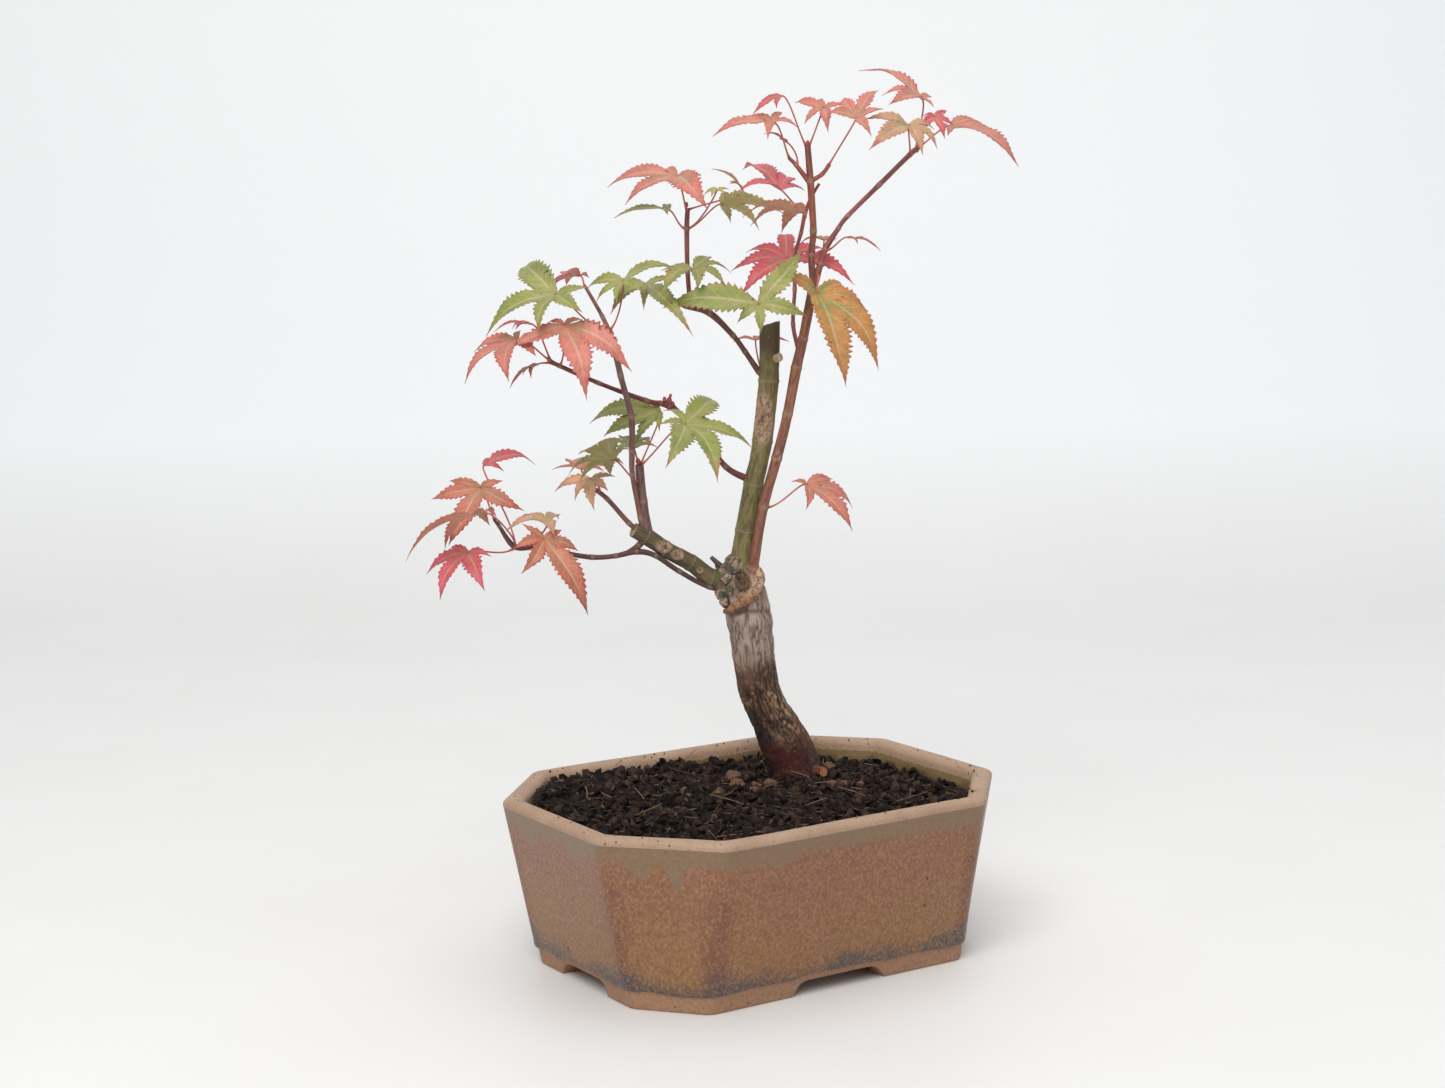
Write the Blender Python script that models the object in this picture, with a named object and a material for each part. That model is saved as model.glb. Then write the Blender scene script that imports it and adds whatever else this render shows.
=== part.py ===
"""A young Japanese maple grown as a bonsai, in an eight-sided glazed pot.

Sizes are in metres and +Z is up. The pot's long side runs along X, its feet
stand at Z = 0 and its middle is over the origin. The tree is drawn in its own
frame, in millimetres: across (the way its branches spread), away and up, all
measured from where the trunk leaves the soil.
"""

import math

import bmesh
import bpy
import numpy as np
from mathutils import Matrix, Vector

MM = 0.001
TOUCH_GAP = 0.3 * MM          # air left between two pieces that touch

# Pot, outside sizes at the rim
POT_LENGTH = 200 * MM
POT_WIDTH = 158 * MM
POT_HEIGHT = 73 * MM
CORNER_CUT_X = 36 * MM        # how much each cut corner takes from the long side
CORNER_CUT_Y = 40 * MM        # and from the short side
CORNER_RADIUS = 7 * MM        # rounding of the eight upright edges
WALL_LEAN = 15 * MM           # how far the wall comes in from rim to floor
CUT_LEAN = 0.93               # how much of the lean the cut corners lose
WALL = 8.5 * MM
RIM_ROUND = 2 * MM
FLOOR = 7 * MM
INNER_FILLET = 6 * MM         # inside, where the wall meets the floor
FOOT_HEIGHT = 6.5 * MM
FOOT_BAND = 13 * MM           # width of the foot, wall to hollow
FOOT_STEP = 1.1 * MM          # the bare foot stands in under the glaze
GLAZE_EDGE = 8 * MM           # height at which the glaze ends
ARCH_LONG = 44 * MM           # opening between the feet, on the long sides
ARCH_SHORT = 37 * MM          # and on the short sides
ARCH_HEIGHT = 5.7 * MM
ARCH_SHOULDER = 7 * MM        # how much narrower the arch is at its top
WALL_STEP = 10 * MM           # height between two rings of the wall
CORNER_STEPS = 3
FILLET_SHARES = (0.0, 0.12, 0.4, 1.0)      # rings of the inside fillet, up from the floor
RIM_STEPS = 3                 # facets in each rounded edge of the rim
ARCH_STEPS = (20, 45, 70, 90) # degrees round each shoulder of an arch

# Drainage
HOLE_RADIUS = 8 * MM
HOLE_SPACING = 90 * MM        # between the two holes, along X
MESH_SIZE = 26 * MM
MESH_THICKNESS = 1 * MM
MESH_HOLES = 4                # openings along each side of the square
MESH_BAR_SHARE = 0.42         # bar width as a share of the pitch
WIRE_RADIUS = 0.8 * MM
WIRE_REACH = 13 * MM          # each bent leg, from the hole's middle
WIRE_BEND = 1.6 * WIRE_RADIUS # from a leg's corner to the ends of its bend
BEND_CUT = 0.3                # how far the bend's middle stands off that corner
HOLE_SIDES = 24

# Soil
SOIL_DROP = 7 * MM            # below the rim, where the trunk stands
SOIL_TILT = 3.5 * MM          # how much it rises towards -X, middle to wall
SOIL_MOUND = 4 * MM
MOUND_X = -0.26 * POT_LENGTH  # middle of the mound
MOUND_Y = 0.14 * POT_WIDTH
MOUND_SPREAD = 34 * MM
SOIL_WAVE = 0.5 * MM
SOIL_WAVE_LENGTH = 50 * MM
SOIL_GAP = 0.6 * MM           # air between the soil and the pot's wall
SOIL_EDGE_LIMIT = 3 * MM      # the soil stays this far below the rim at the wall
SOIL_EDGE_SHARE = 0.12        # the outer share in which the soil meets its edge line
SOIL_RINGS = (1.0, 0.93, 0.8, 0.65, 0.5, 0.35, 0.2, 0.08)

# Tree
TREE_SCALE = 1.0              # the whole tree against the drawn sizes
STEM_THICKNESS = 1.0          # the stems' girth against the drawn sizes
TREE_TURN = math.radians(-32.7)    # the spread, turned from the pot's long side
TRUNK_X = 0.218 * POT_LENGTH
TRUNK_Y = 0.184 * POT_WIDTH
STEM_STEPS = 2                # rings between two drawn points of a stem
LEAF_THICKNESS = 0.5 * MM
STALK_RADIUS = 0.42 * MM
END_SHARE = 0.8               # how far out over a twig's cut end its stalks stand
END_LEAN = 0.35               # sine of the lean from which they stand that far out
LEAF_ARCH = 0.1               # rise of a lobe above its chord
LOBE_WIDTH = 0.30             # widest part of a lobe, as a share of its length

# Stems: (across, away, up, radius) in millimetres, each starting inside its parent
TRUNK = [(1, 1, -24, 8), (1, 1, -16, 11), (0, 0, -4, 12.3), (-2, 0, 6, 11.3),
         (-7, -2, 17, 10.5), (-14, -5, 32, 9.1), (-18, -7, 46, 9.0), (-20, -9, 62, 9.6),
         (-22, -11, 78, 9.9), (-24, -12, 88, 9.2), (-25, -12, 95, 6)]
STEMS = {
    "left_branch": [(-24, -12, 88, 4.5), (-29, -12, 90, 4.4), (-37, -14, 91, 4.0),
                    (-46, -16, 98, 3.7), (-57, -20, 105, 3.7), (-65, -23, 111, 3.8),
                    (-70, -25, 114, 3.3)],
    "left_stem_thick": [(-64, -23, 111, 2.6), (-66, -23, 126, 2.1), (-67, -24, 142, 1.9)],
    "left_stem_tall": [(-65, -24, 111, 1.5), (-67, -24.5, 119, 1.1), (-70, -26, 138, 1.1),
                       (-70, -26.5, 148, 1.3), (-70, -28, 163, 1.4), (-74, -31, 181, 1.3),
                       (-77, -33, 197, 1.7)],
    "left_stem_fork": [(-77, -33, 196, 1.2), (-81, -34, 206, 0.9), (-88, -36, 219, 0.7)],
    "far_left_twig": [(-24, -12, 84, 1.2), (-38, -16, 87.2, 1.1), (-51, -20, 95, 1.1),
                      (-61, -23, 102.4, 1.2), (-69, -24, 104.4, 1.3), (-78, -26, 103, 1.1),
                      (-88, -29, 103, 1.1), (-101, -34, 106, 1.1), (-111, -38, 109, 1.2),
                      (-120, -42, 110, 1.3), (-126, -44, 119, 0.8), (-128, -45, 122, 0.7)],
    "far_twig_root": [(-65, -23, 111, 1.7), (-68, -23.6, 107, 1.4), (-73, -25, 104, 1.1)],
    "small_left_twig": [(-67, -24, 113, 1.2), (-72, -25, 117, 1.1), (-81, -28, 128, 1.0),
                        (-87, -30, 133, 1.0)],
    "leader": [(-25, -11, 86, 5.4), (-22, -11, 111, 4.5), (-18, -11, 131, 4.3),
               (-14, -10, 150, 4.3), (-11, -10, 176, 4.4), (-10, -10, 202, 4.3)],
    "leader_stub": [(-11, -10, 185, 2.2), (-6, -14, 186.5, 1.9)],
    "crossing_twig": [(-19, -11, 133, 1.7), (-30, -10, 139, 1.3), (-41, -8, 154, 1.2),
                      (-51, -8, 163.5, 1.3), (-54, -8.5, 166, 1.9), (-58, -9.5, 167, 1.2),
                      (-64, -12, 168.5, 1.1), (-84, -20, 177, 1.0), (-100, -26, 185, 1.0),
                      (-104, -27, 187, 1.2)],
    "upper_left_twig": [(-12, -10, 178, 1.6), (-15, -10, 180, 1.4), (-21, -12, 189, 1.2),
                        (-26, -14, 196, 1.2), (-36, -17, 206, 1.5), (-46, -19, 209, 1.0),
                        (-57, -22, 214, 0.9)],
    "upright_twig": [(-44, -19, 208, 1.0), (-45, -19, 224, 1.0), (-45, -19, 242, 1.1),
                     (-44.5, -19, 250, 1.0)],
    "right_shoot": [(-22, -13, 84, 2.7), (-19, -14, 95, 2.4), (-14, -15, 122, 2.3),
                    (-8, -16, 143, 2.3), (-3, -16, 162, 2.2), (1, -15, 182, 2.3),
                    (4, -14, 194, 2.1), (9, -12, 218, 2.1)],
    "right_shoot_left": [(8.8, -12, 217, 1.7), (8, -12, 230, 1.4), (9, -12, 240, 1.4),
                         (8, -11, 261, 1.5), (7, -11, 276, 1.3)],
    "right_shoot_right": [(9, -12, 217, 1.8), (12, -11, 226, 1.4), (14, -10, 232, 1.4),
                          (20, -8, 241, 1.1), (24, -6, 246, 1.1), (38, 0, 259, 1.1),
                          (52, 6, 272, 1.2), (55, 7, 274, 1.4)],
    "top_twig_left": [(8, -11, 260, 1.2), (2, -10, 268, 0.9), (-1, -9, 271, 0.8)],
    "top_twig_right": [(8, -11, 261, 1.1), (13, -13, 264, 0.9), (16, -15, 268, 0.9)],
    "pink_shoot": [(0.5, -15, 180, 1.3), (2, -12, 188, 1.0), (0, -8, 200, 0.9),
                   (1, -4, 215, 0.9), (1, -3, 228, 0.8), (4, -3, 239, 0.8),
                   (6, -4, 248, 0.9), (9, -5, 255, 0.7), (12, -6, 260, 0.6)],
    "root_knob": [(4, -3, 1, 3.0), (8, -7, 2.5, 2.4), (11, -11, 3, 2.1)],
    "graft_spur": [(-29, -12, 92, 1.8), (-37, -14, 100, 0.8)],
}
# Roots inside the soil: where each ends, as shares of the inside half length and
# half width, its depth below the soil line and its end radius, in millimetres
ROOTS = [(-0.25, 0.35, -33, 2.2), (0.12, -0.36, -36, 2.4), (0.70, -0.08, -34, 2.0),
         (0.36, 0.68, -38, 2.0)]
ROOT_START = (0.5, 0.5, -15, 6.5)
# Where leaf stalks leave the wood: a stem, and how many of its drawn points along
SHOOT_POINTS = {
    "far_tip": ("far_left_twig", 11), "far_node": ("far_left_twig", 9),
    "far_mid": ("far_left_twig", 8), "tall_tip": ("left_stem_tall", 6),
    "tall_fork": ("left_stem_fork", 0.5), "fork_tip": ("left_stem_fork", 2),
    "cross_tip": ("crossing_twig", 9), "cross_near": ("crossing_twig", 8),
    "left_tip": ("left_stem_thick", 2), "left_below": ("left_stem_thick", 1.5),
    "small_tip": ("small_left_twig", 3), "small_near": ("small_left_twig", 2.5),
    "upper_tip": ("upper_left_twig", 6), "upper_mid": ("upper_left_twig", 4.5),
    "upright_tip": ("upright_twig", 3), "upright_fork": ("upright_twig", 2),
    "leader_node": ("leader", 4), "pink_low": ("pink_shoot", 2.5),
    "pink_mid": ("pink_shoot", 3.5), "pink_high": ("pink_shoot", 6),
    "right_node": ("right_shoot_right", 0.5), "right_fork": ("right_shoot_right", 2),
    "top_tip": ("right_shoot_left", 4), "top_left_tip": ("top_twig_left", 2),
    "top_left_near": ("top_twig_left", 1),
    "top_right_tip": ("top_twig_right", 2), "outer_tip": ("right_shoot_right", 7),
    "outer_side": ("right_shoot_right", 6.5), "outer_near": ("right_shoot_right", 6),
    "right_low": ("right_shoot", 2),
}
# Leaves: (name, shoot point, blade base, heading, tilt, roll, lobes, colour). The blade
# base is in millimetres in the tree's frame. Heading, tilt and roll turn the blade, in
# degrees. Each lobe is (degrees from the heading, length in millimetres).
LEAVES = [
    ("far_01", "far_tip", (-134.1, -37, 134.8), 262, 66, 0,
     [(-105, 15), (-76, 22), (-22, 28), (58, 21), (112, 10)], "russet"),
    ("far_02", "far_node", (-130.3, -61, 126.9), 150, 30, 0,
     [(-80, 12), (-48, 16), (0, 28), (36, 38), (90, 12)], "salmon"),
    ("far_03", "far_node", (-133.3, -28, 143.3), 30, -5, 30, [(-35, 9), (5, 25), (40, 6)], "pink"),
    ("far_04", "far_node", (-139, -50, 109), 230, 40, -5,
     [(-95, 11), (-50, 20), (0, 25), (55, 25), (95, 12)], "pink"),
    ("far_05", "far_mid", (-107, -48, 114), 300, 60, 0,
     [(-128, 11), (-84, 15), (-39, 19), (17, 37), (67, 16), (110, 10)], "russet"),
    ("far_06", "far_mid", (-107, -34, 119), 175, -5, -5,
     [(-105, 17), (-42, 17), (0, 13), (45, 21), (108, 18)], "tan"),
    ("tall_01", "tall_fork", (-99.9, -43, 216.1), 220, 40, -10,
     [(-110, 37), (-41, 35), (13, 21), (70, 21), (115, 15)], "green"),
    ("tall_02", "fork_tip", (-91, -27, 223), 150, 15, 0,
     [(-75, 12), (-38, 18), (0, 14), (45, 14), (100, 20)], "pink"),
    ("tall_03", "tall_fork", (-72, -35, 221), 250, 40, 15,
     [(-100, 20), (-50, 14), (0, 12), (50, 14), (100, 24)], "green"),
    ("upper_01", "upper_tip", (-63, -20, 219), 265, 30, 5,
     [(-90, 20), (-43, 22), (5, 16), (28, 40), (95, 14)], "green"),
    ("cross_01", "cross_near", (-96.5, -44, 203.4), 270, 50, 0,
     [(-110, 7), (-56, 24), (20, 36), (58, 36), (110, 8)], "salmon"),
    ("cross_02", "cross_tip", (-117, -36, 197), 195, 30, -15,
     [(-120, 9), (-45, 23), (5, 29), (55, 29), (95, 22)], "salmon"),
    ("cross_03", "cross_tip", (-112.2, -22, 202.8), 190, 5, 0, [(-38, 10), (0, 16), (38, 10)], "pink"),
    ("cross_04", "cross_tip", (-109.2, -25, 185.8), 200, 35, 0, [(-35, 9), (0, 16), (35, 9)], "salmon"),
    ("left_01", "left_tip", (-58.1, -10, 163.6), 190, 30, -40,
     [(-80, 7), (-40, 34), (-8, 27), (25, 18), (62, 10)], "green"),
    ("left_02", "left_tip", (-47, -34, 160), 355, 25, 20,
     [(-140, 13), (-85, 34), (-48, 36), (10, 31), (42, 20), (78, 35), (140, 14)], "green"),
    ("left_03", "left_below", (-77.8, -45, 146.5), 190, 10, 30,
     [(-130, 7), (-85, 15), (-40, 19), (5, 20), (48, 22), (85, 25), (125, 13)], "green"),
    ("left_04", "left_tip", (-69.7, -19, 148.7), 125, -10, 0,
     [(-95, 13), (-50, 22), (-12, 19), (42, 18), (110, 14)], "green"),
    ("small_01", "small_near", (-87.2, -34, 137.5), 265, 40, 10,
     [(-80, 17), (-42, 12), (5, 17), (45, 12), (95, 10)], "tan"),
    ("small_02", "small_tip", (-91.8, -23, 140.4), 65, -5, 0,
     [(-95, 12), (-42, 14), (0, 16), (45, 23), (88, 14)], "salmon"),
    ("upright_01", "upright_tip", (-49, -22, 264), 240, 30, 0,
     [(-128, 13), (-82, 34), (-39, 25), (46, 36), (91, 12)], "salmon"),
    ("upright_02", "upright_fork", (-53, -18, 250), 190, 5, -10,
     [(-100, 10), (3, 23), (75, 9)], "green"),
    ("upright_03", "upright_fork", (-30, -8, 252), 350, 12, -35,
     [(-75, 12), (-40, 20), (-10, 28), (30, 20), (74, 12)], "lime"),
    ("upright_04", "upright_tip", (-20.9, 1, 258), 180, -40, 0,
     [(-35, 8), (0, 16), (35, 8)], "tan"),
    ("upright_05", "upright_fork", (-32, -25, 258), 250, 20, 0,
     [(-110, 5), (-50, 6), (0, 7), (50, 6), (110, 5)], "lime"),
    ("upper_02", "upper_mid", (-42, -28, 225), 280, 18, 0,
     [(-95, 14), (-42, 27), (0, 18), (40, 18), (100, 16), (145, 18)], "green"),
    ("middle_01", "pink_high", (-5, -6, 258), 135, -20, 0,
     [(-95, 14), (-56, 24), (-10, 34), (42, 16), (85, 22)], "pink"),
    ("middle_02", "pink_high", (3.9, -26, 248), 160, 5, 15,
     [(-85, 8), (-48, 22), (0, 24), (42, 27), (95, 14)], "russet"),
    ("middle_03", "pink_low", (-15.1, -35, 210.3), 268, 68, 0,
     [(-95, 41), (-53, 12), (5, 13), (76, 21), (138, 31)], "green"),
    ("middle_04", "pink_mid", (-2, 6, 228), 90, -35, 0,
     [(-114, 33), (-60, 20), (0, 22), (60, 20), (105, 25), (142, 30)], "pink"),
    ("middle_05", "leader_node", (-16, 7, 192.8), 80, -10, 0,
     [(-98, 15), (-50, 8), (0, 8), (95, 10)], "salmon"),
    ("right_01", "right_node", (10, -19, 214), 300, 60, 0,
     [(-124, 20), (-2, 43), (38, 42), (72, 25), (108, 17)], "orange"),
    ("right_02", "right_fork", (14.1, 0, 235.9), 90, -5, 0,
     [(-95, 5), (-45, 8), (0, 9), (45, 9), (85, 11)], "tan"),
    ("right_03", "right_fork", (23.8, -15, 237.1), 350, 20, 0, [(-42, 7), (0, 15), (45, 6)], "salmon"),
    ("right_04", "right_low", (5, -14, 131), 330, 40, 20,
     [(-140, 7), (-40, 13), (5, 28), (42, 23), (82, 15)], "salmon"),
    ("top_01", "top_left_tip", (-8, -18, 286), 200, 10, -25,
     [(-140, 11), (-55, 12), (0, 27), (55, 12), (140, 11)], "salmon"),
    ("top_02", "top_tip", (-4, -14, 297), 200, 30, -20, [(-40, 9), (0, 15), (40, 9)], "pink"),
    ("top_03", "top_tip", (14.1, -8, 292.1), 250, 40, 0,
     [(-150, 8), (-107, 15), (-35, 12), (25, 15), (100, 10)], "salmon"),
    ("top_04", "top_right_tip", (27, -28, 287), 70, -40, 0,
     [(-140, 13), (-60, 12), (-15, 20), (38, 17), (72, 16)], "salmon"),
    ("top_05", "top_left_near", (-2, -6, 278), 180, -30, 0, [(-60, 6), (0, 10), (60, 6)], "pink"),
    ("outer_01", "outer_near", (49.8, -16, 283.9), 280, 35, -10,
     [(-90, 20), (-45, 28), (0, 20), (45, 16), (100, 13)], "tan"),
    ("outer_02", "outer_tip", (57.3, 12, 296.1), 200, -15, -25,
     [(-140, 10), (-45, 32), (0, 18), (42, 26), (110, 9)], "salmon"),
    ("outer_03", "outer_tip", (61.5, -5, 287.8), 290, 50, 0,
     [(-105, 5), (-53, 12), (5, 12), (55, 9), (110, 8)], "pink"),
    ("outer_04", "outer_side", (70.1, 14, 284), 315, 25, 5,
     [(-100, 6), (-50, 12), (9, 38), (48, 25), (92, 21)], "salmon"),
]
# Base colour of each leaf kind, linear RGB
LEAF_COLOURS = {
    "russet": (0.36, 0.10, 0.06), "salmon": (0.52, 0.16, 0.11), "pink": (0.55, 0.07, 0.10),
    "tan": (0.40, 0.22, 0.10), "green": (0.20, 0.27, 0.07), "lime": (0.34, 0.34, 0.06),
    "orange": (0.50, 0.20, 0.07),
}


def clear_scene():
    for old in list(bpy.data.objects):
        bpy.data.objects.remove(old, do_unlink=True)


def material(name, colour, roughness, metallic=0.0):
    made = bpy.data.materials.new(name)
    made.use_nodes = True
    shader = made.node_tree.nodes["Principled BSDF"]
    shader.inputs["Base Color"].default_value = (*colour, 1.0)
    shader.inputs["Roughness"].default_value = roughness
    shader.inputs["Metallic"].default_value = metallic
    return made


def add_object(name, verts, faces, finish=None, smooth=True):
    """Makes one named object from points and faces, with its normals pointing outwards."""
    mesh = bpy.data.meshes.new(name)
    mesh.from_pydata([tuple(v) for v in verts], [], faces)
    shape = bmesh.new()
    shape.from_mesh(mesh)
    bmesh.ops.recalc_face_normals(shape, faces=shape.faces)
    shape.to_mesh(mesh)
    shape.free()
    if smooth:
        mesh.shade_smooth()
        mesh.set_sharp_from_angle(angle=math.radians(40))
    made = bpy.data.objects.new(name, mesh)
    bpy.context.scene.collection.objects.link(made)
    if finish:
        mesh.materials.append(finish)
    return made


def helper(name, verts, faces):
    """A shape that only cuts or joins others, left out of the finished part."""
    made = add_object(name, verts, faces, smooth=False)
    made.hide_render = True
    made.display_type = "WIRE"
    return made


def combine(target, tool, operation):
    step = target.modifiers.new(f"{operation.lower()}_{tool.name}", "BOOLEAN")
    step.operation = operation
    step.solver = "EXACT"
    step.object = tool


def loft(rings, closed_ends=True):
    """Joins rings of equal length, each a list of points, into a skin with flat ends."""
    count = len(rings[0])
    verts = [point for ring in rings for point in ring]
    faces = []
    for level in range(len(rings) - 1):
        for step in range(count):
            after = (step + 1) % count
            faces.append((level * count + step, level * count + after,
                          (level + 1) * count + after, (level + 1) * count + step))
    if closed_ends:
        faces.append(tuple(range(count))[::-1])
        faces.append(tuple(range(len(verts) - count, len(verts))))
    return verts, faces


# Pot ------------------------------------------------------------------------

FLOOR_TOP = FOOT_HEIGHT + FLOOR
SOIL_LEVEL = POT_HEIGHT - SOIL_DROP


def octagon(inset, height):
    """The pot's outline at a height, moved in by inset, as points with rounded corners."""
    lean = WALL_LEAN * (1 - height / POT_HEIGHT)
    half_x = POT_LENGTH / 2 - lean - inset
    half_y = POT_WIDTH / 2 - lean - inset
    cut_loss = CUT_LEAN * lean + (2 - math.sqrt(2)) * inset
    cut_x = CORNER_CUT_X - cut_loss
    cut_y = CORNER_CUT_Y - cut_loss
    corners = []
    for side_x, side_y in ((1, 1), (-1, 1), (-1, -1), (1, -1)):
        on_short = Vector((side_x * half_x, side_y * (half_y - cut_y)))
        on_long = Vector((side_x * (half_x - cut_x), side_y * half_y))
        corners += [on_short, on_long] if side_x * side_y > 0 else [on_long, on_short]
    points = []
    for here, corner in enumerate(corners):
        back = (corners[here - 1] - corner).normalized()
        ahead = (corners[(here + 1) % len(corners)] - corner).normalized()
        half_angle = back.angle(ahead) / 2
        middle = corner + (back + ahead).normalized() * CORNER_RADIUS / math.sin(half_angle)
        start = corner + back * CORNER_RADIUS / math.tan(half_angle)
        sweep = math.pi - 2 * half_angle
        for step in range(CORNER_STEPS + 1):
            turn = Matrix.Rotation(sweep * step / CORNER_STEPS, 2)
            flat = middle + turn @ (start - middle)
            points.append((flat.x, flat.y, height))
    return points


def inner_inset(height):
    """How far the inside wall stands in from the outside at a height, with its fillet."""
    rise = height - FLOOR_TOP
    if rise >= INNER_FILLET:
        return WALL
    across = INNER_FILLET - rise
    return WALL + INNER_FILLET - math.sqrt(max(INNER_FILLET ** 2 - across ** 2, 0))


def inner_levels(top):
    """Heights of the inside wall's rings: close together in the fillet, then even steps."""
    levels = [FLOOR_TOP + INNER_FILLET * share for share in FILLET_SHARES]
    while levels[-1] + 1.5 * WALL_STEP < top:
        levels.append(levels[-1] + WALL_STEP)
    return levels


def rim_profile():
    """(inset, height) round the rim, from the outside face to the inside face."""
    profile = []
    for middle, start in ((RIM_ROUND, 180), (WALL - RIM_ROUND, 90)):
        for step in range(RIM_STEPS + 1):
            angle = math.radians(start - 90 * step / RIM_STEPS)
            profile.append((middle + RIM_ROUND * math.cos(angle),
                            POT_HEIGHT - RIM_ROUND + RIM_ROUND * math.sin(angle)))
    return profile


def make_pot(finish):
    outside = [(FOOT_STEP, 0.0), (FOOT_STEP, GLAZE_EDGE - FOOT_STEP * 0.6),
               (0.35 * FOOT_STEP, GLAZE_EDGE - 0.1 * FOOT_STEP), (0.0, GLAZE_EDGE + FOOT_STEP)]
    outside += [(0.0, level) for level in inner_levels(POT_HEIGHT)[len(FILLET_SHARES):]]
    inside = [(inner_inset(level), level) for level in reversed(inner_levels(POT_HEIGHT))]
    profile = outside + rim_profile() + inside
    verts, faces = loft([octagon(inset, height) for inset, height in profile])
    pot = add_object("pot", verts, faces, finish)
    under = [octagon(FOOT_BAND, 0.0), octagon(FOOT_BAND, FOOT_HEIGHT)]
    under[0] = [(x, y, -FOOT_HEIGHT) for x, y, _ in under[0]]
    combine(pot, helper("cut_under_pot", *loft(under)), "DIFFERENCE")
    for name, width, length, turn in (("cut_arch_long", ARCH_LONG, POT_WIDTH, 0.0),
                                      ("cut_arch_short", ARCH_SHORT, POT_LENGTH, math.pi / 2)):
        combine(pot, arch_cutter(name, width, length, turn), "DIFFERENCE")
    for side in (-1, 1):
        rings = [circle(HOLE_RADIUS, (side * HOLE_SPACING / 2, 0), height, HOLE_SIDES)
                 for height in (-FOOT_HEIGHT, FLOOR_TOP + FLOOR)]
        combine(pot, helper(f"cut_drain_{side + 1}", *loft(rings)), "DIFFERENCE")
    return pot


def circle(radius, middle, height, sides):
    return [(middle[0] + radius * math.cos(math.tau * step / sides),
             middle[1] + radius * math.sin(math.tau * step / sides), height)
            for step in range(sides)]


def arch_cutter(name, width, length, turn):
    """A bar with an arched section, which opens the foot on two opposite sides."""
    half = width / 2
    section = [(-half, -ARCH_HEIGHT), (half, -ARCH_HEIGHT), (half, 0.0)]
    for angle in ARCH_STEPS:
        section.append((half - ARCH_SHOULDER * (1 - math.cos(math.radians(angle))),
                        ARCH_HEIGHT * math.sin(math.radians(angle))))
    section += [(-x, z) for x, z in reversed(section[3:])]
    section.append((-half, 0.0))
    spin = Matrix.Rotation(turn, 3, "Z")
    rings = [[tuple(spin @ Vector((x, y, z))) for x, z in section] for y in (-length, length)]
    return helper(name, *loft(rings))


# Drainage -------------------------------------------------------------------

def mesh_pitch():
    return MESH_SIZE / (MESH_HOLES + MESH_BAR_SHARE)


def make_drain_mesh(name, middle_x, finish):
    """A square of plastic mesh: a plate with a grid of square openings."""
    pitch = mesh_pitch()
    bar = pitch * MESH_BAR_SHARE
    lines = [-MESH_SIZE / 2]
    for _ in range(MESH_HOLES):
        lines += [lines[-1] + bar, lines[-1] + pitch]
    lines.append(MESH_SIZE / 2)
    shape = bmesh.new()
    grid = [[shape.verts.new((middle_x + x, y, FLOOR_TOP + TOUCH_GAP)) for y in lines]
            for x in lines]
    for i in range(len(lines) - 1):
        for j in range(len(lines) - 1):
            if not (i % 2 and j % 2):
                shape.faces.new((grid[i][j], grid[i + 1][j], grid[i + 1][j + 1], grid[i][j + 1]))
    unused = [v for v in shape.verts if not v.link_faces]
    bmesh.ops.delete(shape, geom=unused, context="VERTS")
    grown = bmesh.ops.extrude_face_region(shape, geom=shape.faces[:])
    raised = [item for item in grown["geom"] if isinstance(item, bmesh.types.BMVert)]
    bmesh.ops.translate(shape, verts=raised, vec=(0, 0, MESH_THICKNESS))
    bmesh.ops.recalc_face_normals(shape, faces=shape.faces)
    mesh = bpy.data.meshes.new(name)
    shape.to_mesh(mesh)
    shape.free()
    mesh.materials.append(finish)
    made = bpy.data.objects.new(name, mesh)
    bpy.context.scene.collection.objects.link(made)
    return made


def wire_top():
    return FLOOR_TOP + TOUCH_GAP + MESH_THICKNESS + TOUCH_GAP + WIRE_RADIUS


def make_drain_wire(name, middle_x, finish):
    """A wire staple: over the mesh, down two openings, and bent out under the pot."""
    leg = mesh_pitch() / 2
    under = FOOT_HEIGHT - TOUCH_GAP - WIRE_RADIUS
    top = wire_top()
    cut = WIRE_BEND * BEND_CUT
    half = [(leg - WIRE_BEND, top), (leg - cut, top - cut), (leg, top - WIRE_BEND),
            (leg, under + WIRE_BEND), (leg + cut, under + cut), (leg + WIRE_BEND, under),
            (WIRE_REACH, under)]
    route = [(-x, z) for x, z in reversed(half)] + half
    points = [Vector((middle_x + x, leg, z)) for x, z in route]
    verts, faces = tube(points, [WIRE_RADIUS] * len(points), 8)
    return add_object(name, verts, faces, finish)


# Soil -----------------------------------------------------------------------

def soil_height(x, y):
    """Height of the soil: tilted up to -X, with a low mound at the back left."""
    reach = POT_LENGTH / 2 - WALL
    tilt = SOIL_TILT * (TRUNK_X - x) / reach
    away = ((x - MOUND_X) ** 2 + (y - MOUND_Y) ** 2) / (2 * MOUND_SPREAD ** 2)
    turn = math.tau / SOIL_WAVE_LENGTH
    waves = SOIL_WAVE * math.sin(turn * x) * math.cos(turn * y)
    return SOIL_LEVEL + tilt + SOIL_MOUND * math.exp(-away) + waves


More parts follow.
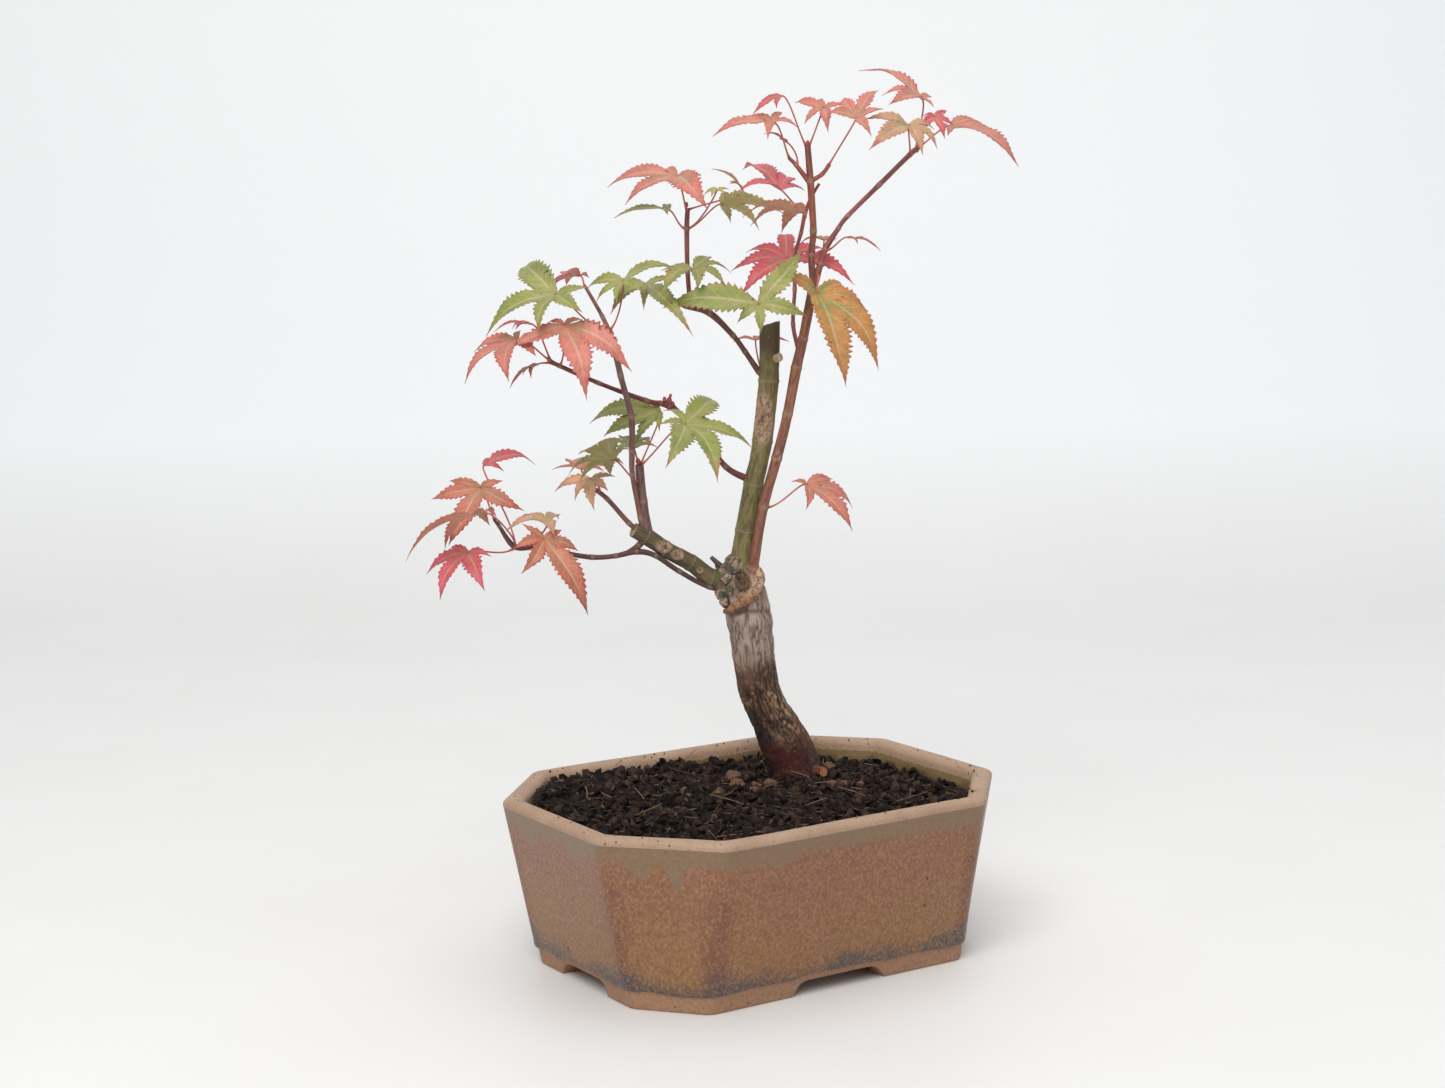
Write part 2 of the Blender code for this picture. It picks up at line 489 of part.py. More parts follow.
def make_soil(finish):
    rings = []
    for level in inner_levels(SOIL_LEVEL - SOIL_TILT):
        gap_up = TOUCH_GAP if level == FLOOR_TOP else 0.0
        ring = octagon(inner_inset(level) + SOIL_GAP, level)
        rings.append([(x, y, z + gap_up) for x, y, z in ring])
    edge_top = POT_HEIGHT - SOIL_EDGE_LIMIT
    edge = []
    for x, y, _ in octagon(WALL + SOIL_GAP, SOIL_LEVEL):
        edge.append(min(soil_height(x, y), edge_top))
    wall_line = [octagon(WALL + SOIL_GAP, height)[k] for k, height in enumerate(edge)]
    for share in SOIL_RINGS:
        ring = []
        for x, y, z in wall_line:
            inner = (x * share, y * share)
            blend = min((1 - share) / SOIL_EDGE_SHARE, 1.0)
            ring.append((*inner, z + (soil_height(*inner) - z) * blend))
        rings.append(ring)
    verts, faces = loft(rings)
    soil = add_object("soil", verts, faces, finish)
    cut_wood_socket(soil)
    for side in (-1, 1):
        cut_drain_pockets(soil, side)
    return soil


def box(name, low, high):
    rings = [[(low[0], low[1], z), (high[0], low[1], z), (high[0], high[1], z),
              (low[0], high[1], z)] for z in (low[2], high[2])]
    return helper(name, *loft(rings))


def cut_drain_pockets(soil, side):
    """Rooms in the soil's underside for a mesh square and the wire over it."""
    middle = side * HOLE_SPACING / 2
    below = FLOOR_TOP - FLOOR
    half = MESH_SIZE / 2 + TOUCH_GAP
    mesh_room = box(f"cut_mesh_{side + 1}", (middle - half, -half, below),
                    (middle + half, half, FLOOR_TOP + MESH_THICKNESS + 2 * TOUCH_GAP))
    leg = mesh_pitch() / 2
    reach = WIRE_RADIUS + TOUCH_GAP
    wire_room = box(f"cut_wire_{side + 1}", (middle - leg - reach, leg - reach, below),
                    (middle + leg + reach, leg + reach, wire_top() + reach))
    combine(soil, mesh_room, "DIFFERENCE")
    combine(soil, wire_room, "DIFFERENCE")


# Tree -----------------------------------------------------------------------

TURN = Matrix.Rotation(TREE_TURN, 3, "Z")


def tree_point(across, away, up):
    """A drawn point of the tree, as a place in the part."""
    flat = TURN @ Vector((across, away, 0)) * MM * TREE_SCALE
    return Vector((TRUNK_X + flat.x, TRUNK_Y + flat.y, SOIL_LEVEL + up * MM * TREE_SCALE))


def smooth_route(points, radii, steps):
    """Points on a smooth curve through the given ones, with the radius carried along."""
    route, girth = [], []
    last = len(points) - 1
    for here in range(last):
        before = points[max(here - 1, 0)]
        start, end = points[here], points[here + 1]
        after = points[min(here + 2, last)]
        for step in range(steps):
            t = step / steps
            leave = (end - before) * 0.5
            arrive = (after - start) * 0.5
            route.append(start * (2 * t ** 3 - 3 * t ** 2 + 1) + leave * (t ** 3 - 2 * t ** 2 + t)
                         + end * (3 * t ** 2 - 2 * t ** 3) + arrive * (t ** 3 - t ** 2))
            girth.append(radii[here] + (radii[here + 1] - radii[here]) * t)
    return route + [points[last]], girth + [radii[last]]


def tube(points, radii, sides):
    """A round rod along points, each ring square to the route, with flat ends."""
    rings = []
    side = None
    for here, point in enumerate(points):
        along = points[min(here + 1, len(points) - 1)] - points[max(here - 1, 0)]
        along.normalize()
        if side is None:
            side = along.orthogonal().normalized()
        side = (side - along * side.dot(along)).normalized()
        other = along.cross(side)
        rings.append([point + (side * math.cos(math.tau * k / sides)
                               + other * math.sin(math.tau * k / sides)) * radii[here]
                      for k in range(sides)])
    return loft(rings)


def stem_route(drawn, steps, extra=0.0):
    points = [tree_point(a, w, u) for a, w, u, _ in drawn]
    radii = [r * MM * TREE_SCALE * STEM_THICKNESS + extra for _, _, _, r in drawn]
    return smooth_route(points, radii, steps)


def stem_shape(drawn, sides, steps, extra=0.0):
    route, girth = stem_route(drawn, steps, extra)
    if extra:
        route[-1] = route[-1] + (route[-1] - route[-2]).normalized() * extra
    return tube(route, girth, sides)


def root_shape(share_x, share_y, depth, end_radius, extra=0.0):
    start_a, start_w, start_up, start_radius = ROOT_START
    start = tree_point(start_a, start_w, start_up)
    level = SOIL_LEVEL + depth * MM
    half_x = POT_LENGTH / 2 - WALL - WALL_LEAN * (1 - level / POT_HEIGHT)
    half_y = POT_WIDTH / 2 - WALL - WALL_LEAN * (1 - level / POT_HEIGHT)
    end = Vector((share_x * half_x, share_y * half_y, level))
    middle = start.lerp(end, 0.5) + Vector((0, 0, 0.15 * (start.z - end.z)))
    thick = start_radius * MM * STEM_THICKNESS
    thin = end_radius * MM * STEM_THICKNESS
    radii = [thick + extra, 0.6 * thick + 0.3 * thin + extra, thin + extra]
    route, girth = smooth_route([start, middle, end], radii, 4)
    if extra:
        route[-1] = route[-1] + (route[-1] - route[-2]).normalized() * extra
    return tube(route, girth, 7)


def cut_wood_socket(soil):
    """The room in the soil that the trunk's foot, its roots and its knob stand in."""
    buried = [point for point in TRUNK if point[2] < 20]
    first = tree_point(*buried[0][:3]) - Vector((0, 0, TOUCH_GAP))
    points = [first] + [tree_point(a, w, u) for a, w, u, _ in buried[1:]]
    radii = [r * MM * TREE_SCALE * STEM_THICKNESS + TOUCH_GAP for _, _, _, r in buried]
    route, girth = smooth_route(points, radii, 3)
    combine(soil, helper("cut_trunk", *tube(route, girth, 16)), "DIFFERENCE")
    combine(soil, helper("cut_knob", *stem_shape(STEMS["root_knob"], 8, STEM_STEPS, TOUCH_GAP)),
            "DIFFERENCE")
    for index, root in enumerate(ROOTS):
        combine(soil, helper(f"cut_root_{index}", *root_shape(*root, extra=TOUCH_GAP)),
                "DIFFERENCE")


def make_wood(finish):
    """The trunk with every branch, twig and root joined to it as one grown piece."""
    wood = add_object("trunk_and_branches", *stem_shape(TRUNK, 16, 3), finish)
    for name, drawn in STEMS.items():
        sides = 10 if drawn[0][3] > 4 else 8 if drawn[0][3] > 1.8 else 6
        combine(wood, helper(f"join_{name}", *stem_shape(drawn, sides, STEM_STEPS)), "UNION")
    for index, root in enumerate(ROOTS):
        combine(wood, helper(f"join_root_{index}", *root_shape(*root)), "UNION")
    return wood


# Leaves ---------------------------------------------------------------------

def lobe_widths(lobes):
    """Half width of each lobe halfway along it, kept clear of the lobes beside it."""
    widths = []
    for index, (angle, length) in enumerate(lobes):
        near = [abs(angle - lobes[k][0]) for k in (index - 1, index + 1) if 0 <= k < len(lobes)]
        room = math.tan(math.radians(min(near + [90]) * 0.46)) * 0.5
        widths.append(min(LOBE_WIDTH / 2, room) * length)
    return widths


def blade(lobes):
    """A leaf blade in its own plane, in millimetres: points, half outline and top faces."""
    widths = lobe_widths(lobes)
    base = 0.55
    points = [(0.0, 0.0, 0.0), (-base, -base, 0.0), (-base, base, 0.0)]
    outline = [1]
    faces = [(0, 2, 1)]
    right = 1
    for index, (angle, length) in enumerate(lobes):
        along = Vector((math.cos(math.radians(angle)), math.sin(math.radians(angle))))
        side = Vector((-along.y, along.x))

        def place(share, offset):
            flat = along * length * share + side * offset
            rise = LEAF_ARCH * length * 4 * share * (1 - share) + 0.22 * abs(offset)
            points.append((flat.x, flat.y, rise))
            return len(points) - 1

        half = widths[index]
        mid, far = place(0.48, 0), place(0.76, 0)
        near_right, far_right = place(0.48, -half), place(0.76, -half * 0.55)
        tip = place(1.0, 0)
        far_left, near_left = place(0.76, half * 0.55), place(0.48, half)
        if index + 1 < len(lobes):
            next_angle, next_length = lobes[index + 1]
            between = math.radians((angle + next_angle) / 2)
            reach = min(length, next_length) * 0.26
            rise = LEAF_ARCH * 4 * 0.26 * 0.74 * min(length, next_length)
            points.append((reach * math.cos(between), reach * math.sin(between), rise))
            left = len(points) - 1
        else:
            left = 2
        faces += [(0, right, mid), (0, mid, left), (right, near_right, mid),
                  (left, mid, near_left), (near_right, far_right, far), (near_right, far, mid),
                  (near_left, mid, far), (near_left, far, far_left), (far_right, tip, far),
                  (far_left, far, tip)]
        outline += [near_right, far_right, tip, far_left, near_left, left]
        right = left
    return points, outline, faces


def stalk_route(start, end, leave, arrive, steps=5):
    """A bent stalk: a cubic curve that leaves the twig and runs in behind the blade."""
    reach = (end - start).length
    first = start + leave * reach * 0.35
    second = end - arrive * min(reach * 0.3, 4 * MM)
    route = []
    for step in range(steps + 1):
        t = step / steps
        route.append(start * (1 - t) ** 3 + first * 3 * t * (1 - t) ** 2
                     + second * 3 * t ** 2 * (1 - t) + end * t ** 3)
    return route


def stalk_start(place, shoot):
    """Where a stalk begins, a touching gap off the wood: beyond a twig's end or off its side."""
    stem, steps_along = SHOOT_POINTS[shoot]
    points, girth = stem_route(STEMS[stem], STEM_STEPS)
    here = round(steps_along * STEM_STEPS)
    leave = (place - points[here]).normalized()
    axis = (points[min(here + 1, len(points) - 1)] - points[here - 1]).normalized()
    across = leave - axis * leave.dot(axis)
    outward = across.normalized()
    clear = TOUCH_GAP + STALK_RADIUS * math.sqrt(2)
    if here == len(points) - 1 and leave.dot(axis) > 0:
        spread = girth[here] * END_SHARE * min(across.length / END_LEAN, 1.0)
        return points[here] + axis * clear + outward * spread, leave
    return points[here] + outward * (girth[here] + clear), (leave + outward).normalized()


def make_leaf(name, shoot, base, heading, tilt, roll, lobes, finish):
    """One leaf with its stalk, as one closed plate that runs into a square stalk."""
    place = tree_point(*base)
    turn = (TURN @ Matrix.Rotation(math.radians(heading), 3, "Z")
            @ Matrix.Rotation(math.radians(tilt), 3, "Y")
            @ Matrix.Rotation(math.radians(roll), 3, "X"))
    points, outline, top_faces = blade(lobes)
    shaped = [turn @ Vector(p) * MM * TREE_SCALE for p in points]
    lift = turn @ Vector((0, 0, LEAF_THICKNESS / 2))
    count = len(points)
    verts = [place + p + lift for p in shaped] + [place + p - lift for p in shaped]
    faces = list(top_faces) + [tuple(k + count for k in reversed(face)) for face in top_faces]
    for here, after in zip(outline[:-1], outline[1:]):
        faces.append((here, here + count, after + count, after))
    start, leave = stalk_start(place, shoot)
    ring = [2, 1, 1 + count, 2 + count]
    rear = sum((verts[k] for k in ring), Vector()) / len(ring)
    route = stalk_route(start, rear, leave, turn @ Vector((1, 0, 0)))
    side = (verts[2] - verts[1]).normalized()
    for step in range(len(route) - 2, -1, -1):
        along = (route[step + 1] - route[max(step - 1, 0)]).normalized()
        side = (side - along * side.dot(along)).normalized()
        over = along.cross(side)
        first = len(verts)
        for across, above in ((1, 1), (-1, 1), (-1, -1), (1, -1)):
            verts.append(route[step] + (side * across + over * above) * STALK_RADIUS)
        fresh = [first, first + 1, first + 2, first + 3]
        for k in range(4):
            after = (k + 1) % 4
            faces.append((ring[k], fresh[k], fresh[after], ring[after]))
        ring = fresh
    faces.append(tuple(ring))
    return add_object(f"leaf_{name}", verts, faces, finish)


def build():
    clear_scene()
    make_pot(material("glazed_stoneware", (0.19, 0.105, 0.07), 0.38))
    make_wood(material("maple_bark", (0.16, 0.12, 0.08), 0.8))
    make_soil(material("peat_soil", (0.018, 0.011, 0.008), 0.95))
    plastic = material("mesh_plastic", (0.02, 0.02, 0.022), 0.55)
    wire = material("aluminium_wire", (0.55, 0.45, 0.36), 0.4, 1.0)
    for side, word in ((-1, "left"), (1, "right")):
        make_drain_mesh(f"drain_mesh_{word}", side * HOLE_SPACING / 2, plastic)
        make_drain_wire(f"drain_wire_{word}", side * HOLE_SPACING / 2, wire)
    finishes = {kind: material(f"leaf_{kind}", colour, 0.5)
                for kind, colour in LEAF_COLOURS.items()}
    for name, shoot, base, heading, tilt, roll, lobes, kind in LEAVES:
        make_leaf(name, shoot, base, heading, tilt, roll, lobes, finishes[kind])


build()
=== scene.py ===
# %% [markdown]
# # A young Japanese maple in a glazed stoneware pot
#
# The tree is a potted maple about 30 cm tall, in autumn colour. It leans out of a low
# eight-sided pot. A CAD model already fixes where everything is: the pot, the soil, the
# wood and each of the 44 leaves. This file only gives those parts their looks, so it
# starts from the CAD model and keeps to its sizes.

import math
from itertools import product

import bpy
import numpy as np
from mathutils import Matrix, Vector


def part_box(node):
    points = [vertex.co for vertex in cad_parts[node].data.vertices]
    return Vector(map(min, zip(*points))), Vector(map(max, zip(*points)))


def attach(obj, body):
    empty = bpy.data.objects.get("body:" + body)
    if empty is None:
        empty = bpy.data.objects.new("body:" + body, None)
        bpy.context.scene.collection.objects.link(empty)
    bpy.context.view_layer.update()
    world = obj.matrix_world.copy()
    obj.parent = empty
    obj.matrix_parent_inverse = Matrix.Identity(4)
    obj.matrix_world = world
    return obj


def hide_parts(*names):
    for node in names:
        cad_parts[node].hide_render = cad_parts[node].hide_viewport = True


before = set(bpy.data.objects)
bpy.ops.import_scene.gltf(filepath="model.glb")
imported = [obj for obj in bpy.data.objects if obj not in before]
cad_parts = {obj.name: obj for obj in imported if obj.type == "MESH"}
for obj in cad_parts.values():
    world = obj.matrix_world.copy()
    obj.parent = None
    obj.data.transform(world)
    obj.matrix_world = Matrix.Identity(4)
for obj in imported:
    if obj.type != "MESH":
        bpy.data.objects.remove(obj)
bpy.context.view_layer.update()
MM = 0.001

# %% [markdown]
# ## Surfaces on grids
#
# Every new piece is a surface over two parameters, for instance "how far along the twig"
# and "how far round it". One could push vertices about by hand or in loops, but a grid
# worked out with whole arrays is shorter, and it is exact. A grid needs its quads, a
# closed seam where it wraps round, and a fan of triangles over each open end.


# %% Faces of a grid, and a mesh from arrays
def grid_faces(rows, columns, wrap=True):
    """Quads between neighbours: (i, j), (i, j+1), (i+1, j+1), (i+1, j), with j+1 back
    at 0 after the last column if the grid wraps round."""
    i, j = np.meshgrid(np.arange(rows - 1), np.arange(columns if wrap else columns - 1),
                       indexing="ij")
    after = (j + 1) % columns
    quads = [i * columns + j, i * columns + after, (i + 1) * columns + after,
             (i + 1) * columns + j]
    return np.stack(quads, -1).reshape(-1, 4)


def fan_faces(first, columns, hub, outward):
    """Triangles from one ring of points to a hub point, turned to face out."""
    j = np.arange(columns)
    here, after = first + j, first + (j + 1) % columns
    return np.stack([here, after, np.full(columns, hub)] if outward
                    else [after, here, np.full(columns, hub)], -1)


def close_tube(rings):
    """Points and faces of a wrapped grid whose two open ends are fanned to their
    middles. rings has the shape (rows, columns, 3)."""
    rows, columns = rings.shape[:2]
    hubs = rings[[0, -1]].mean(axis=1)
    points = np.concatenate([rings.reshape(-1, 3), hubs])
    last = (rows - 1) * columns
    return points, [grid_faces(rows, columns),
                    fan_faces(0, columns, rows * columns, False),
                    fan_faces(last, columns, rows * columns + 1, True)]


def join_shells(shells):
    """One set of points and faces from several, with each shell's numbers moved on."""
    start, points, faces = 0, [], []
    for shell_points, shell_faces in shells:
        points.append(shell_points)
        faces += [part + start for part in shell_faces]
        start += len(shell_points)
    return np.concatenate(points), faces


def mesh_from(name, points, faces):
    """A mesh from an array of points and a list of face arrays."""
    mesh = bpy.data.meshes.new(name)
    mesh.from_pydata(points.tolist(), [], [face for part in faces for face in part.tolist()])
    return mesh


def in_scene(name, data):
    """A new object at the origin that shows a mesh, a lamp or a camera."""
    thing = bpy.data.objects.new(name, data)
    bpy.context.scene.collection.objects.link(thing)
    return thing


def new_piece(name, points, faces, finish, node):
    """A named object at the origin that rides on the root body, stands for a CAD node
    and wears the finish it is given."""
    mesh = mesh_from(name, points, faces)
    mesh.validate()
    mesh.shade_smooth()
    mesh.materials.append(finish)
    piece = in_scene(name, mesh)
    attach(piece, "root")
    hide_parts(node)
    return piece


def store(piece, name, values):
    """Keeps one number or one colour for each point, which a material reads by name."""
    single = values.ndim == 1
    if not single:
        values = np.concatenate([values, np.ones((len(values), 1))], -1)
    kept = piece.data.attributes.new(name, "FLOAT" if single else "FLOAT_COLOR", "POINT")
    kept.data.foreach_set("value" if single else "color", values.astype(np.float32).ravel())


print("a grid of 3 by 4 points that wraps round has", len(grid_faces(3, 4)), "quads")

# %% [markdown]
# ## Unevenness
#
# Bark, soil and hand-made clay are uneven at every scale. Value noise gives that: a
# random number at each corner of a lattice, and a smooth blend of the eight corners in
# between. A whole-number hash makes the same numbers in every run.


# %% Value noise on arrays
def corner_value(corners, seed):
    """A number from -1 to 1 for each lattice corner: its three whole numbers times three
    large primes, added, then mixed by shifts and a multiplication."""
    mixed = (corners.astype(np.int64) * np.array([73856093, 19349663, 83492791])).sum(-1)
    mixed = (mixed + seed * 374761393) & 0xFFFFFFFF
    mixed = ((mixed ^ (mixed >> 13)) * 1274126177) & 0xFFFFFFFF
    return ((mixed ^ (mixed >> 16)) & 0xFFFF) / 32767.5 - 1


def unevenness(points, size, seed, layers=1):
    """From about -1 to 1 at each point, with lumps of the given size. Each further layer
    is half as large and half as strong. Between corners, t eases as t*t*(3-2t)."""
    total = 0
    for layer in range(layers):
        place = points / size * 2 ** layer
        low = np.floor(place)
        part = place - low
        ease = part * part * (3 - 2 * part)
        for corner in product((0, 1), repeat=3):
            weight = np.prod(np.where(corner, ease, 1 - ease), axis=-1)
            total = total + weight * corner_value(low + corner, seed + layer) * 0.5 ** layer
    return total


def step_up(values, low, high):
    """0 below low, 1 above high, and t*t*(3-2t) in between."""
    part = np.clip((values - low) / (high - low), 0, 1)
    return part * part * (3 - 2 * part)


def between_two(first, second, share):
    """first where share is 0, second where it is 1, in proportion between them."""
    return first + (second - first) * share


def blend(first, second, share):
    """The same for colours, with one share for each colour."""
    return between_two(first, second, np.asarray(share)[..., None])


example = unevenness(np.random.default_rng(1).random((999, 3)), 0.1, 1)
print("unevenness runs from", example.min().round(2), "to", example.max().round(2))

# %% [markdown]
# ## Finishes from nodes
#
# Each finish is one Principled shader. Its colour, roughness and bump come from noise on
# Object coordinates, so a pattern stays where it is on the piece. These helpers only
# save typing: each adds one node and links what it is given.


# %% Short names for material nodes
def feed(tree, socket, value):
    """Links an output to a socket, or sets the socket to a plain value."""
    if isinstance(value, bpy.types.NodeSocket):
        tree.links.new(value, socket)
    elif isinstance(value, tuple) and len(value) == 3 and socket.type == "RGBA":
        socket.default_value = (*value, 1.0)
    else:
        socket.default_value = value


def new_finish(name, **constants):
    """A new material with a Principled shader, and the plain values set on it."""
    finish = bpy.data.materials.new(name)
    finish.use_nodes = True
    tree = finish.node_tree
    shader = tree.nodes["Principled BSDF"]
    for socket, value in constants.items():
        feed(tree, shader.inputs[socket.replace("_", " ")], value)
    return finish, tree, shader


def place_in(tree, stretch=(1, 1, 1)):
    """Object coordinates, optionally squeezed: a small factor draws a pattern out."""
    coordinates = tree.nodes.new("ShaderNodeTexCoord").outputs["Object"]
    if stretch == (1, 1, 1):
        return coordinates
    mapping = tree.nodes.new("ShaderNodeMapping")
    mapping.inputs["Scale"].default_value = stretch
    tree.links.new(coordinates, mapping.inputs["Vector"])
    return mapping.outputs["Vector"]


def noise(tree, size, detail=3.0, stretch=(1, 1, 1), rough=0.55):
    """Smooth noise from 0 to 1 with lumps of the given size in metres."""
    node = tree.nodes.new("ShaderNodeTexNoise")
    node.inputs["Scale"].default_value = 1 / size
    node.inputs["Detail"].default_value = detail
    node.inputs["Roughness"].default_value = rough
    tree.links.new(place_in(tree, stretch), node.inputs["Vector"])
    return node.outputs["Fac"]


def cells(tree, size):
    """Distance to the nearest of many scattered points, as a share of their spacing."""
    node = tree.nodes.new("ShaderNodeTexVoronoi")
    node.inputs["Scale"].default_value = 1 / size
    tree.links.new(place_in(tree), node.inputs["Vector"])
    return node.outputs["Distance"]


def stored(tree, name, output="Fac"):
    """What the piece keeps for each point under this name."""
    node = tree.nodes.new("ShaderNodeAttribute")
    node.attribute_name = name
    return node.outputs[output]


def math_node(tree, operation, first, second=0.0, third=0.0):
    """One sum on up to three values."""
    node = tree.nodes.new("ShaderNodeMath")
    node.operation = operation
    for socket, value in zip(node.inputs, (first, second, third)):
        feed(tree, socket, value)
    return node.outputs[0]


def times(tree, first, second):
    """first * second."""
    return math_node(tree, "MULTIPLY", first, second)


def times_plus(tree, value, factor, rest):
    """value * factor + rest."""
    return math_node(tree, "MULTIPLY_ADD", value, factor, rest)


def between(tree, value, low, high, result_low=0.0, result_high=1.0):
    """Maps value from low..high to result_low..result_high, held flat outside."""
    node = tree.nodes.new("ShaderNodeMapRange")
    for socket, number in zip(node.inputs, (value, low, high, result_low, result_high)):
        feed(tree, socket, number)
    return node.outputs[0]


def mix(tree, share, first, second, way="MIX"):
    """first and second colours mixed by a share from 0 to 1."""
    node = tree.nodes.new("ShaderNodeMix")
    node.data_type = "RGBA"
    node.blend_type = way
    feed(tree, node.inputs["Factor"], share)
    feed(tree, node.inputs[6], first)
    feed(tree, node.inputs[7], second)
    return node.outputs[2]


def raise_surface(tree, shader, height, depth, strength=1.0):
    """Bump: height from 0 to 1 stands for a real depth in metres."""
    node = tree.nodes.new("ShaderNodeBump")
    node.inputs["Strength"].default_value = strength
    node.inputs["Distance"].default_value = depth
    tree.links.new(height, node.inputs["Height"])
    tree.links.new(node.outputs["Normal"], shader.inputs["Normal"])


def height_of_point(tree):
    """The Z of Object coordinates, in metres."""
    node = tree.nodes.new("ShaderNodeSeparateXYZ")
    feed(tree, node.inputs[0], place_in(tree))
    return node.outputs["Z"]


print("a new finish has", len(new_finish("example")[1].nodes), "nodes to start with")
bpy.data.materials.remove(bpy.data.materials["example"])

# %% [markdown]
# ## The pot: one profile carried round an eight-sided outline
#
# The pot is pressed stoneware: a wall of even thickness that leans out, a softly rounded
# bare rim, and a bare foot ring cut into four feet by shallow arches. The same outline at
# every height only changes its size, so the whole skin is one grid: along the profile
# from under the pot to the middle of its floor inside, and round the outline. Boxes and
# bevels would give the shape too, but not the arches' soft shoulders or a wall that
# wavers as a hand-made one does.

# %% The pot's sizes
POT_LENGTH, POT_WIDTH, POT_HEIGHT = 200 * MM, 158 * MM, 73 * MM
CUT_X, CUT_Y = 36 * MM, 40 * MM          # what a cut corner takes from each side
CORNER_RADIUS, ARC_POINTS = 7 * MM, 9    # the round between two sides, and its points
WALL_LEAN, CUT_LEAN = 15 * MM, 0.93      # rim to floor, and the corners' share of it
WALL, RIM_ROUND = 8.5 * MM, 2.6 * MM
FOOT_HEIGHT, FLOOR, FOOT_BAND, FOOT_STEP = 6.5 * MM, 7 * MM, 13 * MM, 1.1 * MM
FLOOR_TOP = FOOT_HEIGHT + FLOOR
GLAZE_EDGE, FILLET, FOOT_ROUND = 8 * MM, 6 * MM, 0.7 * MM
OUTER_ROWS, INNER_ROWS = 34, 22          # grid rows on the wall outside and inside
ARCH_LONG, ARCH_SHORT, ARCH_HEIGHT, ARCH_SHOULDER = 44 * MM, 37 * MM, 5.7 * MM, 7 * MM
HOLE_RADIUS, HOLE_SPACING = 8 * MM, 90 * MM
WAVER, WAVER_SIZE = 0.45 * MM, 55 * MM   # the hand-made unevenness of the wall
SOIL_LEVEL = POT_HEIGHT - 7 * MM         # the soil, where the trunk stands
pot_low, pot_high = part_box("pot")
print("pot in the CAD:", [round(v * 1000, 1) for v in pot_high - pot_low], "mm")


# %% The outline: a rounded octagon of any size
def side_shares(half_side, half_arch):
    """Where a side's points stand, from -1 to 1: evenly, but following the quarter
    ellipse of the arch's shoulder (top edge + shoulder * sin) where the side has one."""
    if not half_arch:
        return np.linspace(-1, 1, 15)[1:-1]
    flat = np.linspace(0, half_arch - ARCH_SHOULDER, 10)
    shoulder = flat[-1] + ARCH_SHOULDER * np.sin(np.linspace(0, math.pi / 2, 9))[1:]
    rest = np.linspace(half_arch, half_side, 21)[1:-1]
    half = np.concatenate([flat, shoulder, rest]) / half_side
    return np.concatenate([-half[:0:-1], half])


LONG_SHARES = side_shares(POT_LENGTH / 2 - CUT_X - 3 * MM, ARCH_LONG / 2)
SHORT_SHARES = side_shares(POT_WIDTH / 2 - CUT_Y - 3 * MM, ARCH_SHORT / 2)
CUT_SHARES = side_shares(1, 0)
SIDES = (CUT_SHARES, LONG_SHARES, CUT_SHARES, SHORT_SHARES) * 2


def outline(inset, height):
    """The octagon's points for each (inset, height), shape (rows, columns, 2). Each side
    moves in by the inset and by the lean, in proportion to the height below the rim.
    Each of the eight corners is an arc of the corner radius that meets both sides."""
    lean = WALL_LEAN * (1 - height / POT_HEIGHT)
    half_x, half_y = POT_LENGTH / 2 - lean - inset, POT_WIDTH / 2 - lean - inset
    loss = CUT_LEAN * lean + (2 - math.sqrt(2)) * inset
    near_x, near_y = half_x - (CUT_X - loss), half_y - (CUT_Y - loss)
    corners = []
    for sign_x, sign_y in ((1, 1), (-1, 1), (-1, -1), (1, -1)):
        on_short = np.stack([sign_x * half_x, sign_y * near_y], -1)
        on_long = np.stack([sign_x * near_x, sign_y * half_y], -1)
        corners += [on_short, on_long] if sign_x * sign_y > 0 else [on_long, on_short]
    corners = np.stack(corners, 1)
    back = np.roll(corners, 1, 1) - corners
    ahead = np.roll(corners, -1, 1) - corners
    back /= np.linalg.norm(back, axis=-1, keepdims=True)
    ahead /= np.linalg.norm(ahead, axis=-1, keepdims=True)
    half_angle = np.arccos((back * ahead).sum(-1)) / 2
    middle_way = back + ahead
    middle_way /= np.linalg.norm(middle_way, axis=-1, keepdims=True)
    middle = corners + middle_way * (CORNER_RADIUS / np.sin(half_angle))[..., None]
    start = corners + back * (CORNER_RADIUS / np.tan(half_angle))[..., None] - middle
    turn = (math.pi - 2 * half_angle)[..., None] * np.linspace(0, 1, ARC_POINTS)
    x, y = start[..., 0, None], start[..., 1, None]
    arcs = middle[..., None, :] + np.stack([x * np.cos(turn) - y * np.sin(turn),
                                            x * np.sin(turn) + y * np.cos(turn)], -1)
    round_it = []
    for corner, shares in enumerate(SIDES):
        share = (shares[:, None] + 1) / 2
        first, last = arcs[:, corner, -1:], arcs[:, (corner + 1) % 8, :1]
        round_it += [arcs[:, corner], first + (last - first) * share]
    return np.concatenate(round_it, 1)


def arch_rise(x, y):
    """How high the foot is cut away: an ellipse's quarter over each shoulder of the
    arch, flat between them. The long sides have their arch along x, the short along y."""
    def over(along, length):
        beyond = np.clip((np.abs(along) - (length / 2 - ARCH_SHOULDER)) / ARCH_SHOULDER, 0, 1)
        return ARCH_HEIGHT * np.sqrt(1 - beyond ** 2)
    on_long = np.abs(y) / POT_WIDTH > np.abs(x) / POT_LENGTH
    return np.where(on_long, over(x, ARCH_LONG), over(y, ARCH_SHORT))


print("one ring of the pot has", sum(ARC_POINTS + len(shares) for shares in SIDES), "points")

